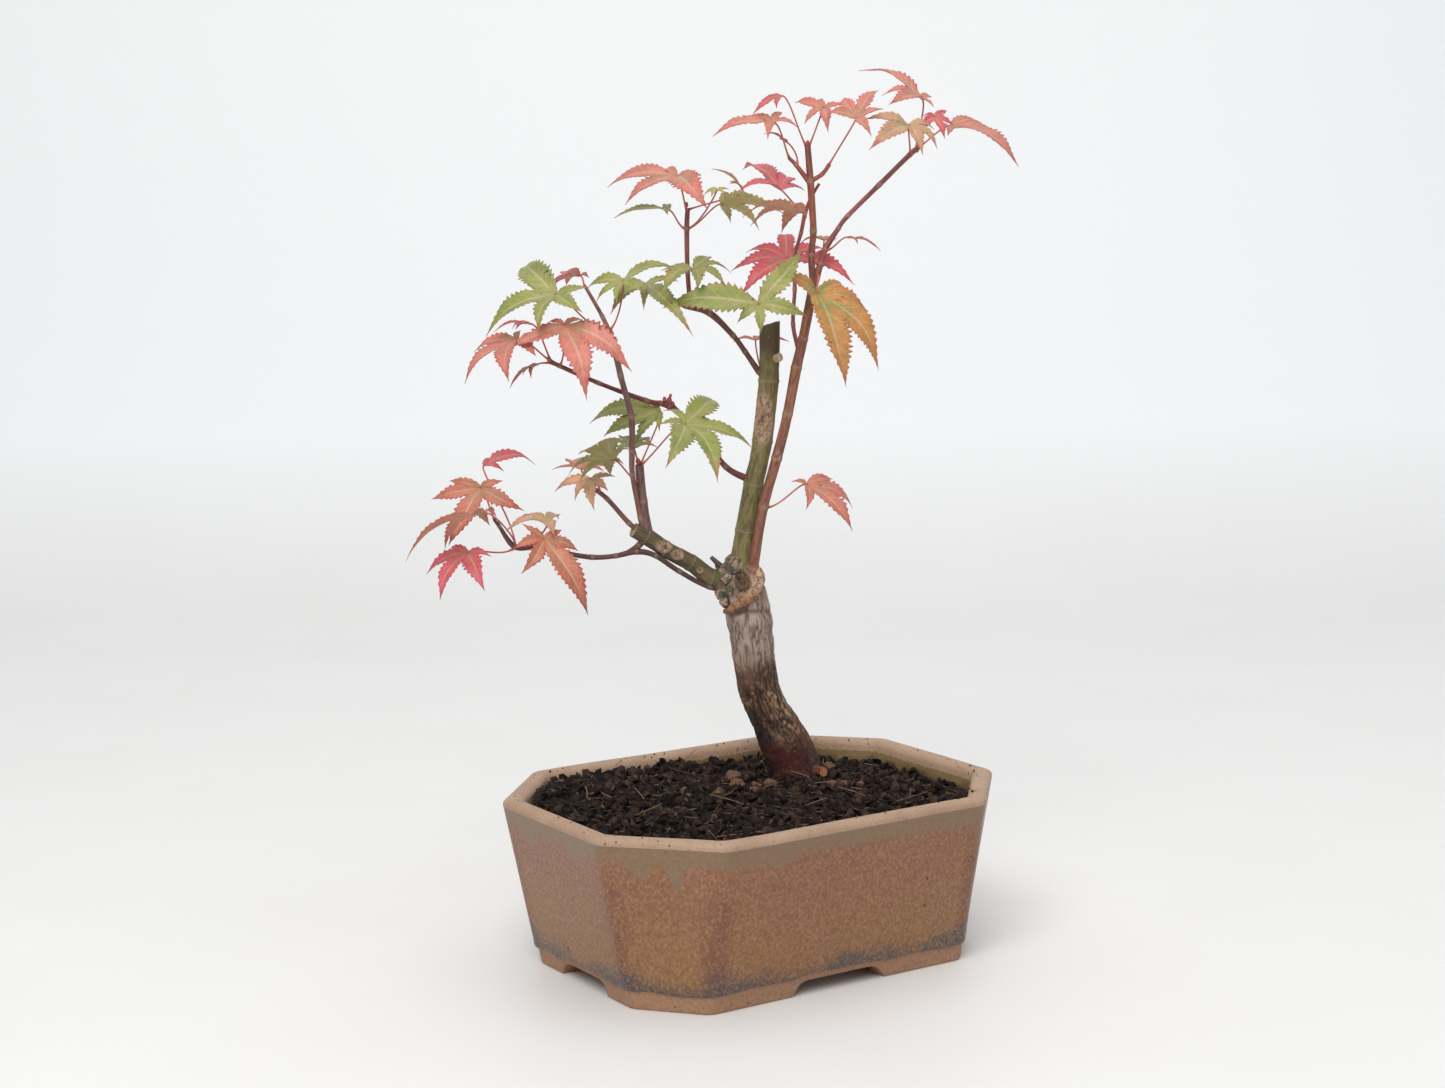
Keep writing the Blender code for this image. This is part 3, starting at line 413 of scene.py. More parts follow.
# %% The profile, from under the pot over the rim to the floor inside
def arc_rows(middle_in, middle_up, radius, first, last, count):
    """Rows of (inset, height) on an arc: middle + radius * (cos, sin), in degrees."""
    angle = np.radians(np.linspace(first, last, count))
    return np.stack([middle_in + radius * np.cos(angle), middle_up + radius * np.sin(angle)], 1)


under = np.array([(FOOT_BAND, FOOT_HEIGHT), (FOOT_BAND, 4 * MM), (FOOT_BAND, 1.5 * MM)])
foot = np.concatenate([
    arc_rows(FOOT_BAND - FOOT_ROUND, FOOT_ROUND, FOOT_ROUND, 0, -90, 5),
    np.stack([np.linspace(FOOT_BAND - 2 * FOOT_ROUND, FOOT_STEP + 2 * FOOT_ROUND, 6),
              np.zeros(6)], 1),
    arc_rows(FOOT_STEP + FOOT_ROUND, FOOT_ROUND, FOOT_ROUND, -90, -180, 5),
    np.stack([np.full(8, FOOT_STEP),
              np.linspace(2 * FOOT_ROUND, GLAZE_EDGE - 2 * FOOT_ROUND, 8)], 1)])
# The glaze ends in a soft lip: shares of the foot's step in, and millimetres up
glaze_lip = np.array([(0.95, -0.75), (0.55, -0.3), (0.15, 0.2), (-0.12, 0.9), (-0.1, 1.8),
                      (0.0, 3.2)]) * (FOOT_STEP, MM) + (0, GLAZE_EDGE)
rim_foot = POT_HEIGHT - RIM_ROUND
outer_wall = np.stack([np.zeros(OUTER_ROWS),
                       np.linspace(GLAZE_EDGE + 4.5 * MM, rim_foot - MM, OUTER_ROWS)], 1)
rim = np.concatenate([
    arc_rows(RIM_ROUND, rim_foot, RIM_ROUND, 180, 90, 7),
    np.stack([np.linspace(RIM_ROUND + 0.8 * MM, WALL - RIM_ROUND - 0.8 * MM, 4),
              np.full(4, POT_HEIGHT)], 1),
    arc_rows(WALL - RIM_ROUND, rim_foot, RIM_ROUND, 90, 0, 7)])
inner_wall = np.stack([np.full(INNER_ROWS, WALL),
                       np.linspace(rim_foot - MM, FLOOR_TOP + FILLET, INNER_ROWS)], 1)
bottom = arc_rows(WALL + FILLET, FLOOR_TOP + FILLET, -FILLET, 0, 90, 6)[1:]
profile = np.concatenate([under, foot, glaze_lip, outer_wall, rim, inner_wall, bottom])
print("profile points:", len(profile))

# %% The pot's skin
ring = outline(profile[:, 0], profile[:, 1])
level = np.repeat(profile[:, 1:2], ring.shape[1], 1)
rise = arch_rise(ring[..., 0], ring[..., 1])
top_of_arch = GLAZE_EDGE + 1.5 * MM            # above this the arch pushes nothing up
below = level < top_of_arch
level = np.where(below & (profile[:, :1] < FOOT_BAND + 0.1 * MM),
                 np.maximum(rise + level * (top_of_arch - rise) / top_of_arch, 0), level)
level[0] = FOOT_HEIGHT
body = np.concatenate([ring, level[..., None]], -1)
lip_height = np.exp(-((profile[:, 1:2] - GLAZE_EDGE) / (1.6 * MM)) ** 2)
lip_height = lip_height * (profile[:, :1] < WALL / 2)
body[..., 2] += lip_height * 0.8 * MM * unevenness(body, 9 * MM, 31)
hand = unevenness(body * (1, 1, 0.6), WAVER_SIZE, 5)[..., None] * WAVER
outward = ring / np.linalg.norm(ring, axis=-1, keepdims=True)
shift = np.concatenate([outward, np.zeros_like(hand)], -1) * hand
stand = step_up(body[..., 2:], 0.0, 15 * MM)
body = body + shift * stand
body[..., 2] += (0.35 * MM * unevenness(body, 40 * MM, 6)
                 * step_up(body[..., 2], POT_HEIGHT - 20 * MM, POT_HEIGHT))
pot_shares = np.array([0.85, 0.6, 0.35, 0.12])[:, None, None]
ceiling = body[:1] * (1, 1, 0) * pot_shares[::-1] + (0, 0, FOOT_HEIGHT)
floor_inside = body[-1:] * (1, 1, 0) * pot_shares + (0, 0, FLOOR_TOP)
skin = np.concatenate([ceiling, body, floor_inside])
pot_points, pot_faces = close_tube(skin)
print("pot skin:", skin.shape, "lowest", pot_points[:, 2].min().round(4))

# %% [markdown]
# ## Glaze, bare clay and how they meet
#
# The glaze was poured on and ran: a thick olive roll hangs under the bare rim and drips
# down in a few places, red-brown shows where it is thin over the edges, and slate-blue
# pools sit above the lower edge. A painted image could hold all that, but nodes can
# follow the height instead. Two slow curves are worked out per point and kept on the
# mesh: how far down the olive reaches, and how near an upright edge is. Noise from the
# shader breaks them up finely.

# %% What the pot keeps for each point
around = np.arctan2(skin[..., 1] * POT_LENGTH / POT_WIDTH, skin[..., 0])
# Drips of olive glaze: where round the pot in radians, length in millimetres, half width
DRIPS = ((-2.35, 13.3, 0.030), (-2.50, 7.7, 0.045), (-1.95, 4.2, 0.06), (-0.9, 4.9, 0.07),
         (0.4, 8.4, 0.04), (1.3, 7.0, 0.05), (2.2, 11.2, 0.035), (2.9, 7.0, 0.05),
         (-2.9, 5.6, 0.05))
olive_reach = np.full(around.shape, 63.5)      # millimetres above the table
for angle, length, width in DRIPS:
    away = (around - angle + math.pi) % math.tau - math.pi
    olive_reach -= length * np.exp(-(away / width) ** 2)
flat_round = np.stack([np.cos(around), np.sin(around), 0 * around], -1)
olive_reach += 1.6 * unevenness(flat_round, 0.25, 8, 3)
corner_columns = [corner * ARC_POINTS + sum(len(shares) for shares in SIDES[:corner])
                  + ARC_POINTS // 2 for corner in range(8)]
to_edge = np.linalg.norm(skin[..., :, None, :2] - skin[..., corner_columns, :2][..., None, :, :],
                         axis=-1).min(-1)
near_edge = np.exp(-(to_edge / (7 * MM)) ** 2)
inset_of = np.concatenate([np.full(4, FOOT_BAND), profile[:, 0], np.full(4, WALL)])
height_of = np.concatenate([np.full(4, 0.0), profile[:, 1], np.full(4, FLOOR_TOP)])
outside = (inset_of < 2.2 * FOOT_STEP) & (height_of > GLAZE_EDGE - 0.5 * MM)
glazed = np.where(outside, step_up(height_of, GLAZE_EDGE - 0.5 * MM, GLAZE_EDGE + 0.1 * MM), 0)
glazed = glazed * (1 - step_up(height_of, POT_HEIGHT - 3.3 * MM, POT_HEIGHT - 2.8 * MM))
inside = (inset_of >= WALL - 0.1 * MM) & (np.arange(len(inset_of)) > len(profile) - 30)
glazed = np.where(inside, 1 - step_up(height_of, POT_HEIGHT - 4 * MM, POT_HEIGHT - 3.4 * MM),
                  glazed)


def per_point(values):
    """Row values or grid values, in the mesh's point order with the two hubs added."""
    spread = np.broadcast_to(values[:, None] if values.ndim == 1 else values, around.shape)
    return np.concatenate([spread.ravel(), [spread[0, 0], spread[-1, 0]]])


print("the olive glaze reaches down to", olive_reach.min().round(1), "mm above the table")

# %% The stoneware finish
stoneware, tree, shader = new_finish("glazed_stoneware", Coat_Weight=0.10, Coat_Roughness=0.30)
up_mm = times(tree, height_of_point(tree), 1 / MM)
fine = noise(tree, 0.7 * MM, 4, rough=0.7)
grain = noise(tree, 1.6 * MM, 3, rough=0.65)
patches = noise(tree, 16 * MM, 3)
broad = noise(tree, 38 * MM, 2)
streaks = noise(tree, 5 * MM, 3, stretch=(1, 1, 0.13))

ochre, mauve, red_brown = (0.262, 0.122, 0.045), (0.245, 0.096, 0.052), (0.165, 0.056, 0.032)
olive, slate, dot = (0.240, 0.150, 0.080), (0.085, 0.083, 0.088), (0.42, 0.230, 0.080)
lower = between(tree, times_plus(tree, broad, -34.0, up_mm), 8.0, 34.0)
lower = times(tree, lower, between(tree, streaks, 0.3, 0.62, 0.65, 1.0))
glaze = mix(tree, lower, ochre, mauve)
glaze = mix(tree, between(tree, patches, 0.5, 0.7, 0.0, 0.55), glaze, (0.275, 0.118, 0.074))
run = times(tree, stored(tree, "near_edge"), between(tree, streaks, 0.25, 0.6, 0.35, 1.0))
run = times(tree, run, between(tree, up_mm, 62.0, 48.0))
glaze = mix(tree, between(tree, run, 0.2, 0.85, 0.0, 0.8), glaze, red_brown)
speckle = noise(tree, 1.25 * MM, 3, stretch=(1, 1, 0.8), rough=0.8)
glaze = mix(tree, between(tree, speckle, 0.50, 0.66, 0.0, 0.62), glaze, dot)
glaze = mix(tree, between(tree, speckle, 0.50, 0.36, 0.0, 0.62), glaze, (0.135, 0.052, 0.028))
ragged = times_plus(tree, noise(tree, 2.2 * MM, 3, stretch=(1, 1, 0.3)), 5.0, up_mm)
ragged = math_node(tree, "SUBTRACT", ragged, stored(tree, "olive_reach"))
glaze = mix(tree, between(tree, ragged, 0.6, 4.0, 0.0, 0.92), glaze,
            mix(tree, between(tree, grain, 0.35, 0.65), (0.185, 0.122, 0.068), olive))
pool = times_plus(tree, noise(tree, 20 * MM, 2), 20.0, times(tree, up_mm, -1.0))
pool = times_plus(tree, noise(tree, 1.8 * MM, 4, rough=0.85), 20.0, pool)
pool = times_plus(tree, stored(tree, "near_edge"), 2.5, pool)
pooled = times(tree, between(tree, pool, 4.0, 11.0), between(tree, speckle, 0.60, 0.44, 0.3, 1.0))
glaze = mix(tree, pooled, glaze,
            mix(tree, between(tree, fine, 0.35, 0.7), (0.035, 0.034, 0.042), slate))
pin = between(tree, cells(tree, 13 * MM), 0.065, 0.045)
glaze = mix(tree, times(tree, pin, between(tree, patches, 0.42, 0.5)), glaze,
            (0.055, 0.018, 0.012))

inside_glaze = mix(tree, patches, (0.17, 0.105, 0.038), (0.30, 0.20, 0.092))
smear = times_plus(tree, noise(tree, 7 * MM, 4), 12.0, times(tree, up_mm, -1.0))
inside_glaze = mix(tree, between(tree, smear, -60.0, -56.0, 0.0, 0.85), inside_glaze,
                   (0.035, 0.024, 0.016))
glaze = mix(tree, stored(tree, "is_inside"), glaze, inside_glaze)

clay_low = mix(tree, between(tree, grain, 0.3, 0.7), (0.30, 0.155, 0.086), (0.42, 0.245, 0.150))
clay_rim = mix(tree, between(tree, patches, 0.3, 0.7), (0.385, 0.245, 0.160), (0.47, 0.315, 0.215))
clay = mix(tree, between(tree, up_mm, 20.0, 40.0), clay_low, clay_rim)
clay = mix(tree, between(tree, fine, 0.44, 0.33, 0.0, 0.80), clay, (0.16, 0.085, 0.05))
clay = mix(tree, between(tree, cells(tree, 5 * MM), 0.12, 0.08, 0.0, 0.8), clay, (0.09, 0.05, 0.03))
glaze_line = times_plus(tree, math_node(tree, "SUBTRACT", grain, 0.5), 0.9,
                        stored(tree, "glazed"))
covered = between(tree, glaze_line, 0.42, 0.58)
feed(tree, shader.inputs["Base Color"], mix(tree, covered, clay, glaze))
feed(tree, shader.inputs["Roughness"],
     math_node(tree, "ADD", between(tree, covered, 0.0, 1.0, 0.82, 0.40),
               between(tree, fine, 0.3, 0.7, -0.08, 0.10)))
relief = times_plus(tree, covered, 0.8, times(tree, fine, 0.5))
raise_surface(tree, shader, times_plus(tree, grain, 0.5, relief), 0.35 * MM, 0.55)
print("stoneware nodes:", len(tree.nodes))

# %% The pot as a piece, with its two drain holes
pot = new_piece("pot_stoneware", pot_points, pot_faces, stoneware, "pot")
for kept_name, values in (("olive_reach", olive_reach), ("near_edge", near_edge),
                          ("glazed", glazed), ("is_inside", inside.astype(float))):
    store(pot, kept_name, per_point(values))


def drill(piece, middle_x):
    """A round hole through the floor: a closed rod taken away by a Boolean, applied."""
    turn = np.linspace(0, math.tau, 48, endpoint=False)
    heights = np.array([-FOOT_HEIGHT, FLOOR_TOP + FLOOR])
    rod = np.stack(np.broadcast_arrays(middle_x + HOLE_RADIUS * np.cos(turn),
                                       HOLE_RADIUS * np.sin(turn), heights[:, None]), -1)
    cutter = in_scene("drill", mesh_from("drill", *close_tube(rod)))
    step = piece.modifiers.new("drain_hole", "BOOLEAN")
    step.operation, step.solver, step.object = "DIFFERENCE", "EXACT", cutter
    shown = piece.evaluated_get(bpy.context.evaluated_depsgraph_get())
    drilled = bpy.data.meshes.new_from_object(shown)
    piece.modifiers.clear()
    piece.data = drilled
    bpy.data.objects.remove(cutter)


for side in (-1, 1):
    drill(pot, side * HOLE_SPACING / 2)
print("pot faces:", len(pot.data.polygons))

# %% [markdown]
# ## The tree as drawn
#
# A tree is easiest to draw in its own frame: across (the way it spreads), away and up,
# in millimetres from where the trunk leaves the soil. Each stem is a short list of
# points with a radius, and each leaf a blade base, three turns and its lobes. These are
# the same lists as the CAD model's, so every twig and leaf lands where the CAD has it.

# %% Stems and leaves, in the tree's own frame
# Stems: (across, away, up, radius) in millimetres, each starting inside its parent
TRUNK = [(1, 1, -24, 8), (1, 1, -16, 11), (0, 0, -4, 12.3), (-2, 0, 6, 11.3),
         (-7, -2, 17, 10.5), (-14, -5, 32, 9.1), (-18, -7, 46, 9.0), (-20, -9, 62, 9.6),
         (-22, -11, 78, 9.9), (-24, -12, 88, 9.2), (-25, -12, 95, 6)]
STEMS = {
    "left_branch": [(-24, -12, 88, 4.5), (-29, -12, 90, 4.4), (-37, -14, 91, 4.0),
                    (-46, -16, 98, 3.7), (-57, -20, 105, 3.7), (-65, -23, 111, 3.8),
                    (-70, -25, 114, 3.3)],
    "left_stem_thick": [(-64, -23, 111, 2.6), (-66, -23, 126, 2.1), (-67, -24, 142, 1.9)],
    "left_stem_tall": [(-65, -24, 111, 1.5), (-67, -24.5, 119, 1.1), (-70, -26, 138, 1.1),
                       (-70, -26.5, 148, 1.3), (-70, -28, 163, 1.4), (-74, -31, 181, 1.3),
                       (-77, -33, 197, 1.7)],
    "left_stem_fork": [(-77, -33, 196, 1.2), (-81, -34, 206, 0.9), (-88, -36, 219, 0.7)],
    "far_left_twig": [(-24, -12, 84, 1.2), (-38, -16, 87.2, 1.1), (-51, -20, 95, 1.1),
                      (-61, -23, 102.4, 1.2), (-69, -24, 104.4, 1.3), (-78, -26, 103, 1.1),
                      (-88, -29, 103, 1.1), (-101, -34, 106, 1.1), (-111, -38, 109, 1.2),
                      (-120, -42, 110, 1.3), (-126, -44, 119, 0.8), (-128, -45, 122, 0.7)],
    "far_twig_root": [(-65, -23, 111, 1.7), (-68, -23.6, 107, 1.4), (-73, -25, 104, 1.1)],
    "small_left_twig": [(-67, -24, 113, 1.2), (-72, -25, 117, 1.1), (-81, -28, 128, 1.0),
                        (-87, -30, 133, 1.0)],
    "leader": [(-25, -11, 86, 5.4), (-22, -11, 111, 4.5), (-18, -11, 131, 4.3),
               (-14, -10, 150, 4.3), (-11, -10, 176, 4.4), (-10, -10, 202, 4.3)],
    "leader_stub": [(-11, -10, 185, 2.2), (-6, -14, 186.5, 1.9)],
    "crossing_twig": [(-19, -11, 133, 1.7), (-30, -10, 139, 1.3), (-41, -8, 154, 1.2),
                      (-51, -8, 163.5, 1.3), (-54, -8.5, 166, 1.9), (-58, -9.5, 167, 1.2),
                      (-64, -12, 168.5, 1.1), (-84, -20, 177, 1.0), (-100, -26, 185, 1.0),
                      (-104, -27, 187, 1.2)],
    "upper_left_twig": [(-12, -10, 178, 1.6), (-15, -10, 180, 1.4), (-21, -12, 189, 1.2),
                        (-26, -14, 196, 1.2), (-36, -17, 206, 1.5), (-46, -19, 209, 1.0),
                        (-57, -22, 214, 0.9)],
    "upright_twig": [(-44, -19, 208, 1.0), (-45, -19, 224, 1.0), (-45, -19, 242, 1.1),
                     (-44.5, -19, 250, 1.0)],
    "right_shoot": [(-22, -13, 84, 2.7), (-19, -14, 95, 2.4), (-14, -15, 122, 2.3),
                    (-8, -16, 143, 2.3), (-3, -16, 162, 2.2), (1, -15, 182, 2.3),
                    (4, -14, 194, 2.1), (9, -12, 218, 2.1)],
    "right_shoot_left": [(8.8, -12, 217, 1.7), (8, -12, 230, 1.4), (9, -12, 240, 1.4),
                         (8, -11, 261, 1.5), (7, -11, 276, 1.3)],
    "right_shoot_right": [(9, -12, 217, 1.8), (12, -11, 226, 1.4), (14, -10, 232, 1.4),
                          (20, -8, 241, 1.1), (24, -6, 246, 1.1), (38, 0, 259, 1.1),
                          (52, 6, 272, 1.2), (55, 7, 274, 1.4)],
    "top_twig_left": [(8, -11, 260, 1.2), (2, -10, 268, 0.9), (-1, -9, 271, 0.8)],
    "top_twig_right": [(8, -11, 261, 1.1), (13, -13, 264, 0.9), (16, -15, 268, 0.9)],
    "pink_shoot": [(0.5, -15, 180, 1.3), (2, -12, 188, 1.0), (0, -8, 200, 0.9),
                   (1, -4, 215, 0.9), (1, -3, 228, 0.8), (4, -3, 239, 0.8),
                   (6, -4, 248, 0.9), (9, -5, 255, 0.7), (12, -6, 260, 0.6)],
    "root_knob": [(4, -3, 1, 3.0), (8, -7, 2.5, 2.4), (11, -11, 3, 2.1)],
    "graft_spur": [(-29, -12, 92, 1.8), (-37, -14, 100, 0.8)],
}
# Where leaf stalks leave the wood: a stem, and how many of its drawn points along
SHOOT_POINTS = {
    "far_tip": ("far_left_twig", 11), "far_node": ("far_left_twig", 9),
    "far_mid": ("far_left_twig", 8), "tall_tip": ("left_stem_tall", 6),
    "tall_fork": ("left_stem_fork", 0.5), "fork_tip": ("left_stem_fork", 2),
    "cross_tip": ("crossing_twig", 9), "cross_near": ("crossing_twig", 8),
    "left_tip": ("left_stem_thick", 2), "left_below": ("left_stem_thick", 1.5),
    "small_tip": ("small_left_twig", 3), "small_near": ("small_left_twig", 2.5),
    "upper_tip": ("upper_left_twig", 6), "upper_mid": ("upper_left_twig", 4.5),
    "upright_tip": ("upright_twig", 3), "upright_fork": ("upright_twig", 2),
    "leader_node": ("leader", 4), "pink_low": ("pink_shoot", 2.5),
    "pink_mid": ("pink_shoot", 3.5), "pink_high": ("pink_shoot", 6),
    "right_node": ("right_shoot_right", 0.5), "right_fork": ("right_shoot_right", 2),
    "top_tip": ("right_shoot_left", 4), "top_left_tip": ("top_twig_left", 2),
    "top_left_near": ("top_twig_left", 1),
    "top_right_tip": ("top_twig_right", 2), "outer_tip": ("right_shoot_right", 7),
    "outer_side": ("right_shoot_right", 6.5), "outer_near": ("right_shoot_right", 6),
    "right_low": ("right_shoot", 2),
}
# Leaves: (name, shoot point, blade base, heading, tilt, roll, lobes, colour). The blade
# base is in millimetres in the tree's frame. Heading, tilt and roll turn the blade, in
# degrees. Each lobe is (degrees from the heading, length in millimetres).
LEAVES = [
    ("far_01", "far_tip", (-134.1, -37, 134.8), 262, 66, 0,
     [(-105, 15), (-76, 22), (-22, 28), (58, 21), (112, 10)], "russet"),
    ("far_02", "far_node", (-130.3, -61, 126.9), 150, 30, 0,
     [(-80, 12), (-48, 16), (0, 28), (36, 38), (90, 12)], "salmon"),
    ("far_03", "far_node", (-133.3, -28, 143.3), 30, -5, 30, [(-35, 9), (5, 25), (40, 6)], "pink"),
    ("far_04", "far_node", (-139, -50, 109), 230, 40, -5,
     [(-95, 11), (-50, 20), (0, 25), (55, 25), (95, 12)], "pink"),
    ("far_05", "far_mid", (-107, -48, 114), 300, 60, 0,
     [(-128, 11), (-84, 15), (-39, 19), (17, 37), (67, 16), (110, 10)], "russet"),
    ("far_06", "far_mid", (-107, -34, 119), 175, -5, -5,
     [(-105, 17), (-42, 17), (0, 13), (45, 21), (108, 18)], "tan"),
    ("tall_01", "tall_fork", (-99.9, -43, 216.1), 220, 40, -10,
     [(-110, 37), (-41, 35), (13, 21), (70, 21), (115, 15)], "green"),
    ("tall_02", "fork_tip", (-91, -27, 223), 150, 15, 0,
     [(-75, 12), (-38, 18), (0, 14), (45, 14), (100, 20)], "pink"),
    ("tall_03", "tall_fork", (-72, -35, 221), 250, 40, 15,
     [(-100, 20), (-50, 14), (0, 12), (50, 14), (100, 24)], "green"),
    ("upper_01", "upper_tip", (-63, -20, 219), 265, 30, 5,
     [(-90, 20), (-43, 22), (5, 16), (28, 40), (95, 14)], "green"),
    ("cross_01", "cross_near", (-96.5, -44, 203.4), 270, 50, 0,
     [(-110, 7), (-56, 24), (20, 36), (58, 36), (110, 8)], "salmon"),
    ("cross_02", "cross_tip", (-117, -36, 197), 195, 30, -15,
     [(-120, 9), (-45, 23), (5, 29), (55, 29), (95, 22)], "salmon"),
    ("cross_03", "cross_tip", (-112.2, -22, 202.8), 190, 5, 0,
     [(-38, 10), (0, 16), (38, 10)], "pink"),
    ("cross_04", "cross_tip", (-109.2, -25, 185.8), 200, 35, 0,
     [(-35, 9), (0, 16), (35, 9)], "salmon"),
    ("left_01", "left_tip", (-58.1, -10, 163.6), 190, 30, -40,
     [(-80, 7), (-40, 34), (-8, 27), (25, 18), (62, 10)], "green"),
    ("left_02", "left_tip", (-47, -34, 160), 355, 25, 20,
     [(-140, 13), (-85, 34), (-48, 36), (10, 31), (42, 20), (78, 35), (140, 14)], "green"),
    ("left_03", "left_below", (-77.8, -45, 146.5), 190, 10, 30,
     [(-130, 7), (-85, 15), (-40, 19), (5, 20), (48, 22), (85, 25), (125, 13)], "green"),
    ("left_04", "left_tip", (-69.7, -19, 148.7), 125, -10, 0,
     [(-95, 13), (-50, 22), (-12, 19), (42, 18), (110, 14)], "green"),
    ("small_01", "small_near", (-87.2, -34, 137.5), 265, 40, 10,
     [(-80, 17), (-42, 12), (5, 17), (45, 12), (95, 10)], "tan"),
    ("small_02", "small_tip", (-91.8, -23, 140.4), 65, -5, 0,
     [(-95, 12), (-42, 14), (0, 16), (45, 23), (88, 14)], "salmon"),
    ("upright_01", "upright_tip", (-49, -22, 264), 240, 30, 0,
     [(-128, 13), (-82, 34), (-39, 25), (46, 36), (91, 12)], "salmon"),
    ("upright_02", "upright_fork", (-53, -18, 250), 190, 5, -10,
     [(-100, 10), (3, 23), (75, 9)], "green"),
    ("upright_03", "upright_fork", (-30, -8, 252), 350, 12, -35,
     [(-75, 12), (-40, 20), (-10, 28), (30, 20), (74, 12)], "lime"),
    ("upright_04", "upright_tip", (-20.9, 1, 258), 180, -40, 0,
     [(-35, 8), (0, 16), (35, 8)], "tan"),
    ("upright_05", "upright_fork", (-32, -25, 258), 250, 20, 0,
     [(-110, 5), (-50, 6), (0, 7), (50, 6), (110, 5)], "lime"),
    ("upper_02", "upper_mid", (-42, -28, 225), 280, 18, 0,
     [(-95, 14), (-42, 27), (0, 18), (40, 18), (100, 16), (145, 18)], "green"),
    ("middle_01", "pink_high", (-5, -6, 258), 135, -20, 0,
     [(-95, 14), (-56, 24), (-10, 34), (42, 16), (85, 22)], "pink"),
    ("middle_02", "pink_high", (3.9, -26, 248), 160, 5, 15,
     [(-85, 8), (-48, 22), (0, 24), (42, 27), (95, 14)], "russet"),
    ("middle_03", "pink_low", (-15.1, -35, 210.3), 268, 68, 0,
     [(-95, 41), (-53, 12), (5, 13), (76, 21), (138, 31)], "green"),
    ("middle_04", "pink_mid", (-2, 6, 228), 90, -35, 0,
     [(-114, 33), (-60, 20), (0, 22), (60, 20), (105, 25), (142, 30)], "pink"),
    ("middle_05", "leader_node", (-16, 7, 192.8), 80, -10, 0,
     [(-98, 15), (-50, 8), (0, 8), (95, 10)], "salmon"),
    ("right_01", "right_node", (10, -19, 214), 300, 60, 0,
     [(-124, 20), (-2, 43), (38, 42), (72, 25), (108, 17)], "orange"),
    ("right_02", "right_fork", (14.1, 0, 235.9), 90, -5, 0,
     [(-95, 5), (-45, 8), (0, 9), (45, 9), (85, 11)], "tan"),
    ("right_03", "right_fork", (23.8, -15, 237.1), 350, 20, 0,
     [(-42, 7), (0, 15), (45, 6)], "salmon"),
    ("right_04", "right_low", (5, -14, 131), 330, 40, 20,
     [(-140, 7), (-40, 13), (5, 28), (42, 23), (82, 15)], "salmon"),
    ("top_01", "top_left_tip", (-8, -18, 286), 200, 10, -25,
     [(-140, 11), (-55, 12), (0, 27), (55, 12), (140, 11)], "salmon"),
    ("top_02", "top_tip", (-4, -14, 297), 200, 30, -20, [(-40, 9), (0, 15), (40, 9)], "pink"),
    ("top_03", "top_tip", (14.1, -8, 292.1), 250, 40, 0,
     [(-150, 8), (-107, 15), (-35, 12), (25, 15), (100, 10)], "salmon"),
    ("top_04", "top_right_tip", (27, -28, 287), 70, -40, 0,
     [(-140, 13), (-60, 12), (-15, 20), (38, 17), (72, 16)], "salmon"),
    ("top_05", "top_left_near", (-2, -6, 278), 180, -30, 0, [(-60, 6), (0, 10), (60, 6)], "pink"),
    ("outer_01", "outer_near", (49.8, -16, 283.9), 280, 35, -10,
     [(-90, 20), (-45, 28), (0, 20), (45, 16), (100, 13)], "tan"),
    ("outer_02", "outer_tip", (57.3, 12, 296.1), 200, -15, -25,
     [(-140, 10), (-45, 32), (0, 18), (42, 26), (110, 9)], "salmon"),
    ("outer_03", "outer_tip", (61.5, -5, 287.8), 290, 50, 0,
     [(-105, 5), (-53, 12), (5, 12), (55, 9), (110, 8)], "pink"),
    ("outer_04", "outer_side", (70.1, 14, 284), 315, 25, 5,
     [(-100, 6), (-50, 12), (9, 38), (48, 25), (92, 21)], "salmon"),
]
TREE_TURN = math.radians(-32.7)
TRUNK_X, TRUNK_Y = 0.218 * POT_LENGTH, 0.184 * POT_WIDTH
STEM_STEPS = 2                 # the CAD's rings between two drawn points
STALK_OVERLAP = 0.3 * MM       # how far a stalk goes into its blade
print(len(STEMS) + 1, "stems and", len(LEAVES), "leaves")


# %% From the drawing to the part
def from_tree(place):
    """across, away, up in millimetres to the part's metres: turned about Z, moved to
    the trunk's foot."""
    place = np.asarray(place, float)
    across, away, up_by = place[..., 0], place[..., 1], place[..., 2]
    turned = np.stack([across * math.cos(TREE_TURN) - away * math.sin(TREE_TURN),
                       across * math.sin(TREE_TURN) + away * math.cos(TREE_TURN), up_by], -1)
    return turned * MM + (TRUNK_X, TRUNK_Y, SOIL_LEVEL)


def to_tree(place):
    """The way back: the part's metres to across, away, up in millimetres."""
    moved = (place - (TRUNK_X, TRUNK_Y, SOIL_LEVEL)) / MM
    return np.stack([moved[..., 0] * math.cos(TREE_TURN) + moved[..., 1] * math.sin(TREE_TURN),
                     moved[..., 1] * math.cos(TREE_TURN) - moved[..., 0] * math.sin(TREE_TURN),
                     moved[..., 2]], -1)


def smooth(drawn, steps):
    """A curve through drawn points (any number of columns): between two of them a cubic
    whose slope at each is half the way from its neighbour before to the one after."""
    drawn = np.asarray(drawn, float)
    before = np.concatenate([drawn[:1], drawn[:-1]])
    after = np.concatenate([drawn[1:], drawn[-1:]])
    slope = (after - before) / 2
    t = (np.arange(steps) / steps)[:, None]
    start, end, leave, arrive = (v[:, None] for v in (drawn[:-1], drawn[1:], slope[:-1], slope[1:]))
    curve = (start * (2 * t ** 3 - 3 * t ** 2 + 1) + leave * (t ** 3 - 2 * t ** 2 + t)
             + end * (3 * t ** 2 - 2 * t ** 3) + arrive * (t ** 3 - t ** 2))
    return np.concatenate([curve.reshape(-1, drawn.shape[1]), drawn[-1:]])


